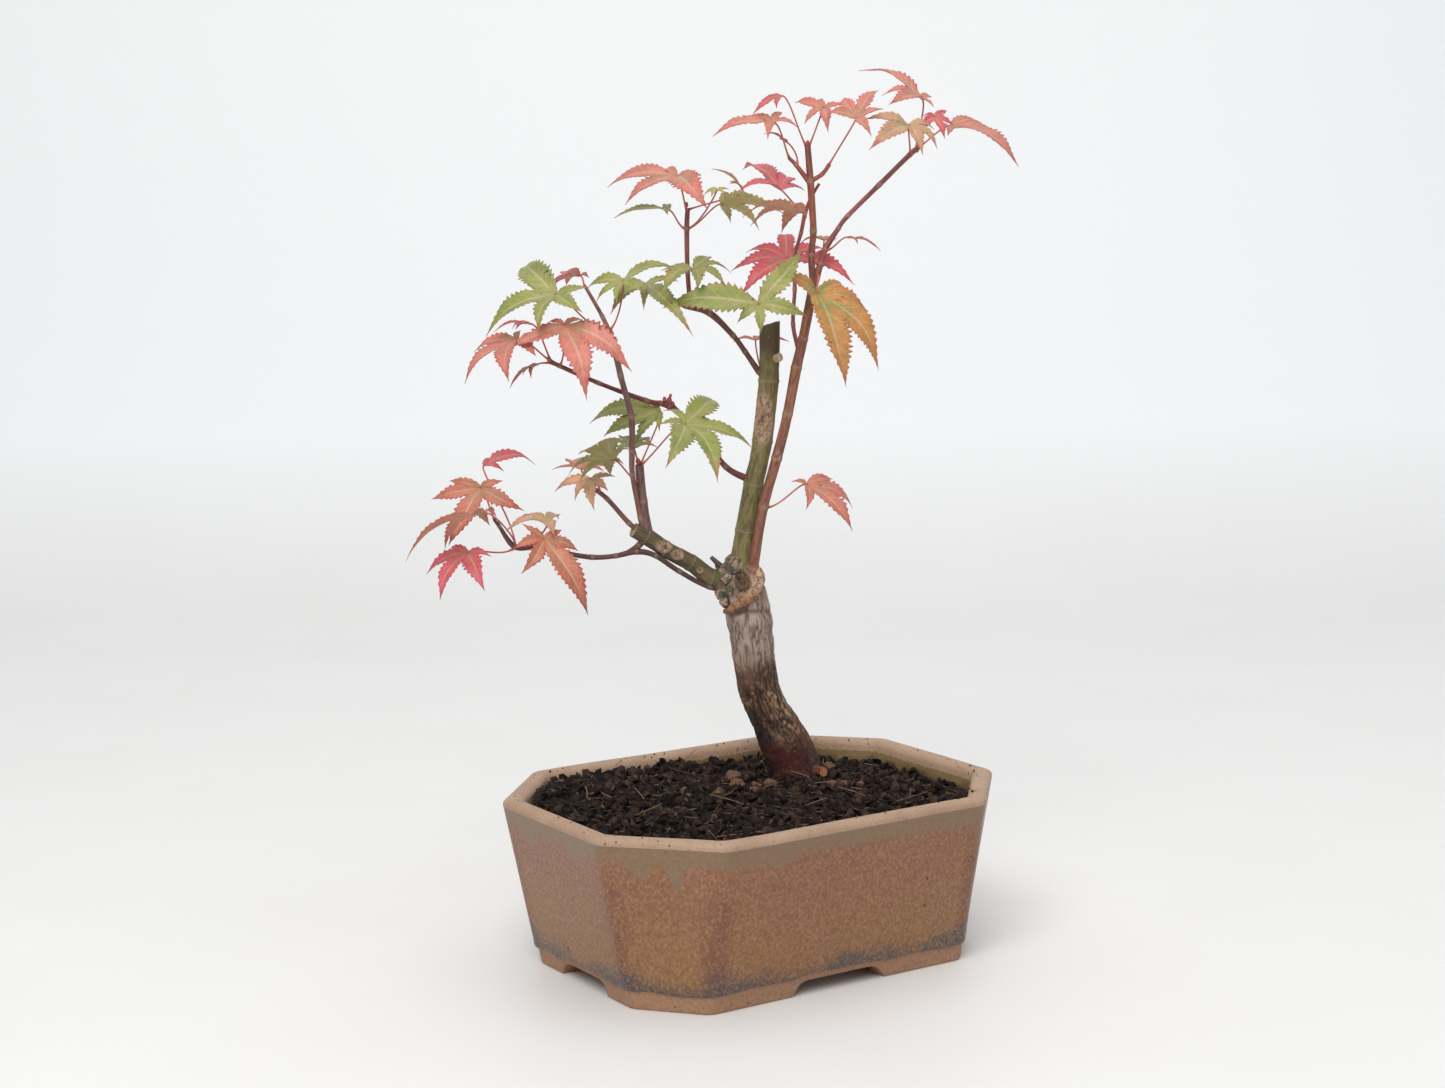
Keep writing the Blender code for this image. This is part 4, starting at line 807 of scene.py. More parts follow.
def way_along(route):
    """The distance along a path to each of its points, as one column."""
    return np.concatenate([[0], np.cumsum(np.linalg.norm(np.diff(route, axis=0), axis=1))])[:, None]


def path_frames(route):
    """Two directions square to the path at each point, carried along without twist."""
    along = np.gradient(route, axis=0)
    along /= np.linalg.norm(along, axis=1, keepdims=True)
    side = np.cross(along[0], (0.3, 1.0, 0.2))
    sides = []
    for heading in along:
        side = side - heading * (side @ heading)
        side = side / np.linalg.norm(side)
        sides.append(side)
    sides = np.array(sides)
    return along, sides, np.cross(along, sides)


def rings_along(route, radii, sides):
    """Rings round a path: centre + radius * (side * cos + other * sin). radii is one
    number a ring, or one for each point."""
    _, side, other = path_frames(route)
    turn = np.linspace(0, math.tau, sides, endpoint=False)
    radii = radii if np.ndim(radii) == 2 else np.asarray(radii)[:, None]
    around_it = (side[:, None] * np.cos(turn)[:, None] + other[:, None] * np.sin(turn)[:, None])
    return route[:, None] + around_it * radii[..., None]


trunk_line = from_tree(np.array(TRUNK, float)[:, :3])
print("trunk with its foot:", way_along(trunk_line)[-1].round(3), "m long")

# %% [markdown]
# ## Bark
#
# Old maple bark at the foot is dark and flecked, higher up it is grey-pink with long
# fissures. At the graft the wood has swollen into a collar: a tan roll of callus, a
# dark cavity above it, a crust of cream and green lumps, and a ring groove below.
# Voxel sculpting could give this, but each stem is already a tube over "along" and
# "round", so bark is a small push of each ring point in or out. Noise that is drawn out
# along the stem makes fissures, and bell curves placed in the tree's frame make rings,
# hollows and scars. The same numbers choose the colours, so both always agree.


# %% Bark of the trunk
def bell(value, middle, width):
    """1 at the middle, falling off as exp(-(distance / width) squared)."""
    return np.exp(-((value - middle) / width) ** 2)


def colour(*rgb):
    """Red, green and blue as an array."""
    return np.array(rgb, float)


def plates_of(place, size, seed, layers, steepness):
    """1 on a plate and 0 in a crack: cracks run where noise passes through zero."""
    return np.clip(np.abs(unevenness(place, size, seed, layers)) * steepness, 0, 1)


def fissures(along_it, turn, radius, size, draw_out, seed):
    """Ridged noise, 1 on a plate and 0 in a crack, on a cylinder of the stem's girth
    whose length is squeezed so that cracks run lengthwise."""
    place = np.stack(np.broadcast_arrays(radius * np.cos(turn), radius * np.sin(turn),
                                         along_it * draw_out), -1)
    return plates_of(place, size, seed, 3, 2.2)


TRUNK_STEPS, TRUNK_SIDES = 26, 150     # rings between two drawn points, points a ring


def trunk_skin():
    """The trunk's tube with its bark pushed in and out, its colours and its age. Each
    push is in millimetres: plates, lumps, the groove, the cavity and the swelling."""
    route = smooth(TRUNK, TRUNK_STEPS)
    route[-14:, 3] *= np.sqrt(np.linspace(1, 0.25, 14))       # the top rounds off
    centre, radius = from_tree(route[:, :3]), route[:, 3:] * MM
    sides = TRUNK_SIDES
    turn = np.linspace(0, math.tau, sides, endpoint=False)
    plain = rings_along(centre, radius[:, 0], sides)
    a, w, u = np.moveaxis(to_tree(plain), -1, 0)
    length = way_along(centre)
    plates = fissures(length, turn, radius, 1.7 * MM, 0.16, 11)
    finer = fissures(length, turn, radius, 0.8 * MM, 0.3, 12)
    lumps = unevenness(plain, 13 * MM, 13, 2)
    front = step_up(-(w + 11), -2, 5)
    groove = bell(u + 1.2 * lumps, 75.5 + 0.08 * (a + 24), 1.0) * front * (0.45 + 0.55 * plates)
    cavity = bell(a, -23.6, 3.8) * bell(u, 89.6, 4.4) * front
    swell = bell(u, 71, 4) * 0.5 - bell(u, 66, 2.5) * 0.3
    push = (-0.42 * (1 - plates) * step_up(u, 34, 62) - 0.2 * (1 - finer) + 0.75 * lumps
            - 0.8 * groove - 3.4 * cavity + swell
            + 0.4 * unevenness(plain, 3 * MM, 14, 2) * step_up(50 - u, -5, 25))
    rings = rings_along(centre, radius + push * MM, sides)

    grey_pink = blend(colour(0.095, 0.056, 0.043), colour(0.42, 0.305, 0.255), plates)
    grey_pink = blend(grey_pink, colour(0.46, 0.38, 0.34), 0.5 * step_up(finer, 0.5, 1))
    brown = blend(colour(0.026, 0.013, 0.010), colour(0.22, 0.122, 0.080), finer * plates)
    flecks = step_up(unevenness(plain, 1.7 * MM, 15, 2), 0.35, 0.6)
    brown = blend(brown, colour(0.40, 0.26, 0.14), 0.75 * flecks * step_up(u, 8, 25))
    tone = blend(brown, grey_pink, step_up(u + 5 * lumps, 49, 59))
    dark_band = bell(u + 3 * lumps, 47, 4.5) * 0.55
    tone = blend(tone, colour(0.075, 0.042, 0.032), dark_band)
    rusty = step_up(lumps, 0.1, 0.7) * bell(u, 42, 12)
    tone = blend(tone, colour(0.27, 0.135, 0.075), 0.45 * rusty)
    shade_left = step_up(-(a + 3 + 0.33 * u), -3, 5) * step_up(42 - u + 4 * lumps, 0, 20)
    tone = blend(tone, colour(0.016, 0.009, 0.009), 0.9 * shade_left)
    foot = step_up(15 - u + 9 * lumps + 6 * (finer - 0.5), -3, 11)
    red = blend(colour(0.016, 0.007, 0.006), colour(0.075, 0.015, 0.010),
                step_up(lumps + finer, 0.2, 1.1))
    tone = blend(tone, red, 0.92 * foot)
    tone = blend(tone, colour(0.045, 0.028, 0.020), np.clip(groove, 0, 1) * 0.6)
    crack = fissures(length, turn, radius, 1.1 * MM, 1.0, 16)
    hollow = blend(colour(0.015, 0.010, 0.008), colour(0.15, 0.085, 0.05), crack)
    tone = blend(tone, hollow, step_up(cavity, 0.12, 0.4))
    collar = step_up(u + 1.2 * lumps, 79, 83) * (1 - step_up(cavity, 0.12, 0.4))
    crust = blend(colour(0.17, 0.095, 0.055), colour(0.40, 0.29, 0.20), plates)
    tone = blend(tone, crust, 0.8 * collar)
    return rings, tone, np.ones(tone.shape[:2])


trunk_parts = [trunk_skin()]
print("trunk:", trunk_parts[0][0].shape)


# %% Lumps, rolls and buds
def lump_rings(middle, size, seed, rough=0.28, rows=18, columns=28):
    """A sphere over latitude and longitude whose radius is pushed by noise."""
    rise = np.linspace(-math.pi / 2, math.pi / 2, rows + 2)[1:-1, None]
    turn = np.linspace(0, math.tau, columns, endpoint=False)
    ball = np.stack(np.broadcast_arrays(np.cos(rise) * np.cos(turn),
                                        np.cos(rise) * np.sin(turn), np.sin(rise)), -1)
    radius = 1 + rough * unevenness(ball, 0.6, seed, 3)[..., None]
    return middle + ball * radius * np.asarray(size)


def crust_tone(rings, seed):
    """Cream, grey-green and brown patches of a healed graft."""
    patch = unevenness(rings, 3.0 * MM, seed, 2)
    crack = plates_of(rings, 1.1 * MM, seed + 1, 2, 3)
    tone = blend(colour(0.40, 0.31, 0.24), colour(0.12, 0.125, 0.085), step_up(patch, 0.1, 0.4))
    tone = blend(tone, colour(0.17, 0.10, 0.065), step_up(-patch, 0.2, 0.5))
    return blend(colour(0.06, 0.04, 0.03), tone, crack)


# Lumps of the crust: across, away, up and size in millimetres. The roll of callus is
# drawn as a stem is.
CRUST = [(-32, -14.5, 88, 3.9), (-30.5, -17, 91.5, 3.0), (-27.5, -15.5, 95.5, 3.2),
         (-31, -11, 93, 4.2), (-26, -11.5, 96, 4.8), (-21.5, -12, 96, 3.4),
         (-33, -16.5, 84, 2.6), (-29.5, -18.8, 86, 2.5), (-20, -10, 93.5, 4.2),
         (-31.5, -18, 80.5, 2.2), (-18.6, -13.8, 95, 2.0),
         (-24, -6, 92, 5.0), (-30, -7, 90, 4.4), (-25.5, -14, 98, 2.4)]
CALLUS = [(-31.5, -16, 76.3, 1.2), (-28.8, -19, 77.6, 2.1), (-25, -20.8, 79.8, 2.5),
          (-21.3, -20.6, 82.6, 2.6), (-18.2, -18.6, 86.4, 2.7), (-16.0, -15.6, 90.4, 2.5),
          (-17.0, -12.8, 94.4, 1.8)]


def callus_skin():
    """A roll of wound wood: a tube with cracks across it, with a painted highlight that makes its
    upper right end paler.
    """
    route = smooth(CALLUS, 16)
    centre, radius = from_tree(route[:, :3]), route[:, 3] * MM
    turn = np.linspace(0, math.tau, 36, endpoint=False)
    plain = rings_along(centre, radius, 36)
    cracks = plates_of(plain, 1.6 * MM, 21, 2, 3)
    swell = 1 + 0.16 * unevenness(plain, 4 * MM, 22)
    rings = rings_along(centre, radius[:, None] * swell - (1 - cracks) * 0.28 * MM, 36)
    # The upper right end turns a paler tan: a painted highlight.
    painted_highlight_share = step_up(np.arange(len(route)) / len(route), 0.45, 0.75)[:, None]
    tone = blend(colour(0.33, 0.175, 0.09), colour(0.52, 0.35, 0.24), painted_highlight_share + 0 * turn)
    tone = blend(colour(0.10, 0.05, 0.03), tone, cracks)
    return rings, tone, np.full(tone.shape[:2], 0.7)


def shells_of(skins):
    """Points, faces, colours and ages of several (rings, colours, ages) tubes."""
    points, faces = join_shells([close_tube(rings) for rings, _, _ in skins])
    tones = np.concatenate([np.concatenate([t.reshape(-1, 3), t[[0, -1]].mean(1)])
                            for _, t, _ in skins])
    ages = np.concatenate([np.concatenate([g.ravel(), g[[0, -1]].mean(1)]) for _, _, g in skins])
    return points, faces, tones, ages


trunk_parts.append(callus_skin())
for number, (a, w, u, size) in enumerate(CRUST):
    rings = lump_rings(from_tree((a, w, u)), size * MM, 40 + number)
    trunk_parts.append((rings, crust_tone(rings, 60), np.ones(rings.shape[:2])))
print("trunk parts:", len(trunk_parts))

# %% Bark of the branches
STEM_TONES = {
    "left_branch": (0.105, 0.083, 0.045), "left_stem_thick": (0.16, 0.085, 0.075),
    "left_stem_tall": (0.15, 0.075, 0.065), "left_stem_fork": (0.20, 0.085, 0.07),
    "far_left_twig": (0.095, 0.040, 0.042), "far_twig_root": (0.105, 0.045, 0.045),
    "small_left_twig": (0.15, 0.065, 0.055),
    "leader": (0.165, 0.140, 0.058), "leader_stub": (0.36, 0.27, 0.18),
    "crossing_twig": (0.145, 0.040, 0.036), "upper_left_twig": (0.125, 0.044, 0.036),
    "upright_twig": (0.185, 0.060, 0.046), "right_shoot": (0.225, 0.092, 0.058),
    "right_shoot_left": (0.185, 0.062, 0.045), "right_shoot_right": (0.215, 0.062, 0.052),
    "top_twig_left": (0.24, 0.066, 0.054), "top_twig_right": (0.24, 0.066, 0.054),
    "pink_shoot": (0.24, 0.075, 0.065), "root_knob": (0.13, 0.035, 0.024),
    "graft_spur": (0.07, 0.055, 0.045),
}
# Scars: stem, across, up, half width, half height (healed cuts, pale with a ring round them)
SCARS = [("leader", -13.4, 160, 3.6, 10.5), ("left_branch", -57, 106.5, 3.2, 2.4),
         ("left_branch", -51.3, 102.3, 2.6, 2.0), ("left_branch", -42, 95, 1.3, 1.1),
         ("right_shoot", -7.5, 144, 1.2, 1.6)]
CUT_ENDS = {"leader": (0.06, 0.035, 0.022), "leader_stub": (0.50, 0.40, 0.28),
            "left_branch": (0.34, 0.23, 0.15), "left_stem_thick": (0.12, 0.07, 0.055),
            "root_knob": (0.42, 0.17, 0.07), "graft_spur": (0.10, 0.08, 0.06)}


def with_scars(name, route, plain, push, tone, seed):
    """Healed cuts on the front of a stem: a raised lip where the distance from the
    scar's middle, in half sizes, is 1, and sunken cracked wood inside it."""
    a, w, u = np.moveaxis(to_tree(plain), -1, 0)
    facing = step_up((route[:, 1:2] - w) / route[:, 3:], 0.05, 0.4)
    for stem, scar_a, scar_u, half_a, half_u in SCARS:
        if stem != name:
            continue
        out = np.sqrt(((a - scar_a) / half_a) ** 2 + ((u - scar_u) / half_u) ** 2)
        out = out + 0.14 * unevenness(plain, 2.5 * MM, seed + 2)
        lip, inner = bell(out, 1, 0.16) * facing, step_up(1.0 - out, 0, 0.15) * facing
        plates = plates_of(plain * (1, 1, 0.5), 1.0 * MM, seed + 3, 2, 3.2)
        push = push + 0.38 * lip - 0.22 * inner * (1 - plates)
        wood = blend(colour(0.09, 0.05, 0.035), colour(0.40, 0.26, 0.17), plates)
        tone = blend(tone, colour(0.33, 0.23, 0.16), np.clip(lip, 0, 1) * 0.8)
        tone = blend(tone, wood, inner)
        tone = blend(tone, tone * 0.55, step_up(0.45 - out, 0, 0.2) * inner)
    return push, tone


LEADER_TOP, LEADER_SLOPE, LEADER_MIDDLE = 200.5, 0.28, -10


def with_cut_end(name, rings, tone, seed):
    """A flat cut end: the last ring drawn in to its middle in four steps, in wood
    colour. The leader's was sawn at a slant: height = top + slope * way across."""
    shares = np.array([1.0, 0.86, 0.6, 0.3])[:, None, None]
    middle = rings[-1].mean(0)
    end = middle + (rings[-1] - middle) * shares
    if name == "leader":
        for part in (rings, end):
            slant = LEADER_SLOPE * (to_tree(part)[..., 0] - LEADER_MIDDLE)
            part[..., 2] = np.minimum(part[..., 2], SOIL_LEVEL + (LEADER_TOP + slant) * MM)
    rough = unevenness(end, 1.2 * MM, seed + 4)[..., None]
    wood = colour(*CUT_ENDS[name]) * (1 + 0.35 * rough)
    return (np.concatenate([rings, end + rough * (0, 0, 0.25 * MM)]),
            np.concatenate([tone, np.clip(wood, 0, 1)]))


def stem_skin(name, drawn):
    """One stem: long fine streaks, a swollen ring at each drawn point after the first,
    scars, and a cut end in a colour of its own. Thicker stems have more points."""
    thick = drawn[0][3]
    steps, sides = (34, 52) if thick > 4 else (14, 26) if thick > 2 else (9, 16)
    route = smooth(drawn, steps)
    centre, radius = from_tree(route[:, :3]), route[:, 3:] * MM
    turn = np.linspace(0, math.tau, sides, endpoint=False)
    step = np.arange(len(route))[:, None] / steps
    plain = rings_along(centre, radius[:, 0], sides)
    a, w, u = np.moveaxis(to_tree(plain), -1, 0)
    seed = 100 + list(STEMS).index(name) * 5
    length = way_along(centre)
    streak = fissures(length, turn, radius, 0.9 * MM, 0.10, seed)
    broad = unevenness(plain, 11 * MM, seed + 1, 2)
    near_node = np.abs(step - np.round(step)) * (step > 0.5) + (step <= 0.5)
    spacing = length[-1, 0] / (len(route) - 1) / MM * steps
    node = np.exp(-(near_node * spacing / 0.55) ** 2) * (step < len(drawn) - 1.2)
    node = np.broadcast_to(node, a.shape)
    push = 0.05 * thick * broad - 0.03 * thick * (1 - streak) + (0.12 + 0.035 * thick) * node
    own_tone = colour(*STEM_TONES[name])
    tone = blend(own_tone * 0.62, own_tone * 1.25, streak)
    tone = blend(tone, tone * colour(1.25, 1.1, 0.9), step_up(broad, 0, 0.8))
    tone = blend(tone, colour(0.34, 0.26, 0.20), 0.45 * step_up(node, 0.6, 1.0))
    if name == "leader":
        tone = blend(tone, colour(0.085, 0.060, 0.030), step_up(u + 9 * broad, 172, 196))
        tone = blend(tone, colour(0.32, 0.27, 0.14), 0.35 * step_up(-broad, 0.2, 0.7))
    if name == "left_branch":
        green = step_up(-a, 26, 30) * step_up(a, -48, -38)
        tone = blend(tone, colour(0.15, 0.145, 0.06), 0.6 * green)
        tone = blend(tone, tone * 0.45, 0.5 * bell(u, 96, 3) * (broad > 0))
    push, tone = with_scars(name, route, plain, push, tone, seed)
    rings = rings_along(centre, radius + push * MM, sides)
    if name in CUT_ENDS:
        rings, tone = with_cut_end(name, rings, tone, seed)
    return rings, tone, np.full(tone.shape[:2], min(thick / 6, 0.7))


branch_parts = [stem_skin(name, drawn) for name, drawn in STEMS.items()]
print("stems:", len(branch_parts))

# %% Buds
# Buds: across, away, up, size, and how red (scaly tips where a twig ends or forks)
BUDS = [(-54, -10, 168, 1.5, 0.3), (-52.5, -9.5, 166.5, 1.2, 0.4), (-56, -10.5, 168.8, 1.1, 1.0),
        (-53.5, -8, 170, 0.9, 1.0), (-104.5, -27, 188, 1.2, 0.5), (-77.5, -33.6, 198.5, 1.5, 0.3),
        (-70.5, -26.6, 149, 1.0, 0.3), (-45, -19, 252, 1.1, 0.5), (7, -11, 277, 1.2, 0.6),
        (55.5, 7.2, 275, 1.3, 0.6), (-126, -44, 120.5, 0.9, 0.6), (-87.5, -30.2, 134.5, 1.0, 0.6),
        (-67.5, -24.2, 143.2, 1.4, 0.3), (-8.4, -18, 144, 1.0, 0.4), (14.3, -10, 233.5, 1.2, 0.4),
        (-36.3, -17.6, 207.6, 1.1, 0.3), (8.6, -13.6, 217.5, 1.2, 0.4),
        (-20.5, -13, 134.5, 1.3, 0.2)]
for number, (a, w, u, size, red) in enumerate(BUDS):
    rings = lump_rings(from_tree((a, w, u)), np.array([0.75, 0.75, 1.15]) * size * MM,
                       200 + number, 0.18, 9, 14)
    tone = blend(colour(0.10, 0.045, 0.035), colour(0.50, 0.09, 0.09), red) * np.ones(rings.shape)
    tone = tone * (1 + 0.3 * unevenness(rings, 0.8 * MM, 7)[..., None])
    branch_parts.append((rings, np.clip(tone, 0, 1), np.full(rings.shape[:2], 0.3)))
print("buds:", len(BUDS))

# %% The bark finish, and the wood as two pieces
bark, tree, shader = new_finish("maple_bark")
tone = stored(tree, "bark_tone", "Color")
fleck = noise(tree, 0.5 * MM, 4, rough=0.7)
tone = mix(tree, between(tree, fleck, 0.35, 0.68, 0.0, 0.38), tone, (0.9, 0.8, 0.7), "SOFT_LIGHT")
tone = mix(tree, between(tree, fleck, 0.45, 0.30, 0.0, 0.5), tone, (0.25, 0.2, 0.2), "MULTIPLY")
lenticel = between(tree, cells(tree, 3.2 * MM), 0.12, 0.07, 0.0, 0.5)
tone = mix(tree, lenticel, tone, (0.36, 0.27, 0.2))
feed(tree, shader.inputs["Base Color"], tone)
old = stored(tree, "bark_age")
feed(tree, shader.inputs["Roughness"], between(tree, old, 0.0, 1.0, 0.46, 0.86))
raise_surface(tree, shader, times(tree, fleck, between(tree, old, 0.0, 1.0, 0.3, 1.0)),
              0.35 * MM, 0.8)

for name, parts in (("maple_trunk", trunk_parts), ("maple_branches", branch_parts)):
    points, faces, tones, ages = shells_of(parts)
    piece = new_piece(name, points, faces, bark, "trunk_and_branches")
    store(piece, "bark_tone", tones)
    store(piece, "bark_age", ages)
    print(name, len(points), "points")

# %% [markdown]
# ## Leaves
#
# A maple leaf is a thin blade with five to seven narrow lobes that fan out from the
# stalk. Each lobe ends in a long drawn-out tip and has saw teeth that point forward.
# The blade is a little hollow along each main vein and droops towards its tips. A flat
# picture with a cut-out mask is the usual quick way; real geometry holds up from every
# side, so each lobe is its own grid: along it, and across it from edge to edge. Lobes
# share the points between them near the stalk, which are welded. The sheet then gets a
# back and a rim, and its stalk is a tube along the CAD's own route.

# %% One lobe of a leaf
LEAF_ARCH, LOBE_WIDTH = 0.1, 0.27      # the CAD's rise of a lobe and its widest share
KEEL = 0.22                            # how steeply a lobe's halves rise from its vein
SINUS = 0.26                           # where two lobes part, as a share of the shorter
HALF_COLUMNS, SHARED_ROWS = 4, 4       # grid columns a half, and rows near the stalk
TOOTH, TOOTH_DEPTH = 2.7, 0.16         # millimetres a tooth, and its share of the width
LOBE_TAPER, LOBE_FULLNESS = 1.6, 5.66  # the fullness makes the widest place come to 1
LEAF_THICKNESS = 0.26


def direction(degrees):
    """(cos, sin) of an angle in degrees."""
    return np.array([math.cos(math.radians(degrees)), math.sin(math.radians(degrees))])


def parting(lobes, index):
    """The point where a lobe meets its neighbour, with its height: on the line halfway
    between them, at a share of the shorter one's length. At the blade's two ends it is
    a short way out beside the stalk."""
    if index < 0 or index + 1 >= len(lobes):
        angle = lobes[0][0] - 65 if index < 0 else lobes[-1][0] + 65
        return np.append(direction(angle) * 1.1, 0.1)
    short = min(lobes[index][1], lobes[index + 1][1])
    middle = direction((lobes[index][0] + lobes[index + 1][0]) / 2) * short * SINUS
    return np.append(middle, LEAF_ARCH * 4 * SINUS * (1 - SINUS) * short)


def lobe_surface(lobes, index, bend, droop, rng):
    """One lobe as a grid, with how far along and across each point is, from 0 to 1.
    The half width is c * q * (1-q)^taper, which has a long thin tip. A tooth widens
    it by a share of itself and the notch before it narrows it. The main vein bends
    sideways with the square of the way along, and droops with its cube."""
    angle, length = lobes[index]
    along = direction(angle)
    side = np.array([-along[1], along[0]])
    near = [abs(angle - lobes[k][0]) for k in (index - 1, index + 1) if 0 <= k < len(lobes)]
    room = math.tan(math.radians(min(near + [90]) * 0.46)) * 0.5
    half = min(LOBE_WIDTH / 2, room) * length * 1.08
    teeth = max(3, round(length / TOOTH))
    notches = np.arange(teeth) / teeth
    q = np.sort(np.concatenate([notches, notches + 0.42 / teeth, notches + 0.74 / teeth]))
    tooth = np.tile([-1.0, 0.15, 1.0], teeth) * np.repeat(rng.uniform(0.5, 1.5, teeth), 3)
    q = np.append(q, 0.5 * (q[-1] + 1))
    tooth = np.append(tooth, 0.0)
    width = LOBE_FULLNESS * q * (1 - q) ** LOBE_TAPER * half
    width = width * (1 + TOOTH_DEPTH * tooth * step_up(q, 0.02, 0.12))
    edges_of = []
    for hand, meeting in ((-1, parting(lobes, index - 1)), (1, parting(lobes, index))):
        first_x, first_y = meeting[:2] @ along, meeting[:2] @ side * hand
        first_y = max(first_y, 0.05)
        x = first_x + (length - first_x) * q
        y = first_y * (1 - q) ** 4 + width
        arch = LEAF_ARCH * 4 * x * (1 - x / length) + KEEL * y
        z = between_two(meeting[2], arch, step_up(q, 0.0, 0.15))
        z[0] = meeting[2]
        flat = along * x[:, None] + side * hand * y[:, None]
        flat[0] = meeting[:2]
        edges_of.append((np.column_stack([flat, z]), x))
    middle_x = (edges_of[0][1] + edges_of[1][1]) / 2 + 0.02 * length * (1 - q)
    middle = np.column_stack([along * middle_x[:, None],
                              LEAF_ARCH * 4 * middle_x * (1 - middle_x / length)])
    shared = (np.arange(1, SHARED_ROWS + 1) / (SHARED_ROWS + 1))[:, None]
    right, left, middle = (np.concatenate([line[:1] * shared, line])
                           for line in (edges_of[0][0], edges_of[1][0], middle))
    step = np.linspace(1, 0, HALF_COLUMNS + 1)[:, None]
    from_right = middle[:, None] + (right - middle)[:, None] * step
    to_left = middle[:, None] + (left - middle)[:, None] * step[::-1]
    grid = np.concatenate([from_right, to_left[:, 1:]], 1)
    far = np.clip(grid[..., :2] @ along / length, 0, 1)
    free = step_up(far, 0.3, 1.0)
    grid[..., :2] += side * (bend * length * free * far ** 2)[..., None]
    grid[..., 2] -= droop * length * free * far ** 3
    across = np.concatenate([step[:, 0], step[::-1, 0][1:]])
    tip = np.append(along * length + side * bend * length, -droop * length)
    return grid, far, np.broadcast_to(across, far.shape), tip


def blade_sheet(lobes, rng):
    """All lobes welded into one sheet: points, quads, triangles, and for each point how
    far along and across its lobe it is."""
    points, along, across = [np.zeros((1, 3))], [np.zeros(1)], [np.zeros(1)]
    quads, triangles = [], []
    start = 1
    for index in range(len(lobes)):
        grid, far, out, tip = lobe_surface(lobes, index, rng.uniform(-0.12, 0.12),
                                           rng.uniform(0.03, 0.20), rng)
        rows, columns = far.shape
        quads.append(grid_faces(rows, columns, wrap=False)[:, ::-1] + start)
        row = np.arange(columns - 1)
        triangles.append(np.stack([np.zeros_like(row), start + row, start + row + 1], -1))
        last = start + (rows - 1) * columns
        end = start + rows * columns
        triangles.append(np.stack([last + row, np.full_like(row, end), last + row + 1], -1))
        points += [grid.reshape(-1, 3), tip[None]]
        along += [far.ravel(), [1.0]]
        across += [out.ravel(), [0.5]]
        start = end + 1
    points = np.concatenate(points)
    _, first, again = np.unique(np.round(points, 3), axis=0, return_index=True,
                                return_inverse=True)
    again = again.reshape(-1)
    values = [np.concatenate(v)[first] for v in (along, across)]
    quads, triangles = again[np.concatenate(quads)], again[np.concatenate(triangles)]
    return points[first], quads, triangles, values


def thicken(points, quads, triangles, thickness):
    """A closed plate from a sheet: a copy below with its faces turned over, and a quad
    along each edge that only one face uses."""
    count = len(points)
    edges_one_way = np.concatenate([np.stack([f, np.roll(f, -1, 1)], -1).reshape(-1, 2)
                                    for f in (quads, triangles)])
    code = edges_one_way[:, 0] * count + edges_one_way[:, 1]
    back = edges_one_way[:, 1] * count + edges_one_way[:, 0]
    rim_edges = edges_one_way[~np.isin(code, back)]
    rim_quads = np.stack([rim_edges[:, 1], rim_edges[:, 0], rim_edges[:, 0] + count,
                          rim_edges[:, 1] + count], -1)
    lift = np.array([0, 0, thickness / 2])
    return (np.concatenate([points + lift, points - lift]),
            [quads, quads[:, ::-1] + count, triangles, triangles[:, ::-1] + count, rim_quads])


# %% Stalks
def turn_about(axis, degrees):
    """A turn about one axis, as a 3 by 3 array."""
    return np.array(Matrix.Rotation(math.radians(degrees), 3, axis))


def stalk_start(place, shoot):
    """Where a stalk leaves the wood and which way, as the CAD has it: off a twig's side,
    or beyond its cut end where it carries on."""
    stem, steps_along = SHOOT_POINTS[shoot]
    route = smooth(STEMS[stem], STEM_STEPS)
    centre, girth = from_tree(route[:, :3]), route[:, 3] * MM
    here = round(steps_along * STEM_STEPS)
    leave = place - centre[here]
    leave /= np.linalg.norm(leave)
    axis = centre[min(here + 1, len(centre) - 1)] - centre[here - 1]
    axis /= np.linalg.norm(axis)
    outward = leave - axis * (leave @ axis)
    reach = np.linalg.norm(outward)
    outward /= reach
    if here == len(centre) - 1 and leave @ axis > 0:
        return centre[here] + outward * girth[here] * 0.6 * min(reach / 0.35, 1), leave
    both = leave + outward
    return centre[here] + outward * girth[here] * 0.9, both / np.linalg.norm(both)


def stalk_rings(start, end, leave, arrive):
    """A tube along a cubic that leaves the twig one way and comes in behind the blade,
    thicker where it sits on the twig and slightly where it meets the blade."""
    reach = np.linalg.norm(end - start)
    first, second = start + leave * reach * 0.35, end - arrive * min(reach * 0.3, 4 * MM)
    t = np.linspace(0, 1, 22)[:, None]
    route = (start * (1 - t) ** 3 + first * 3 * t * (1 - t) ** 2
             + second * 3 * t ** 2 * (1 - t) + end * t ** 3)
    girth = 0.36 + 0.34 * np.exp(-t[:, 0] * reach / MM / 1.3) + 0.14 * bell(t[:, 0], 1, 0.06)
    return rings_along(route, girth * MM, 10)


# %% [markdown]
# ## Autumn colour
#
# The leaves turn from the edge inwards: green or tan stays longest round the main veins,
# the edges and tips go pink, red or brown first. So each point's colour is a blend from
# the heart of the leaf to its edge, by how far out it is, and noise makes the front
# between them ragged. The shader adds the veins: a pale line along each lobe, and side
# veins as a chevron pattern in "along" and "across".

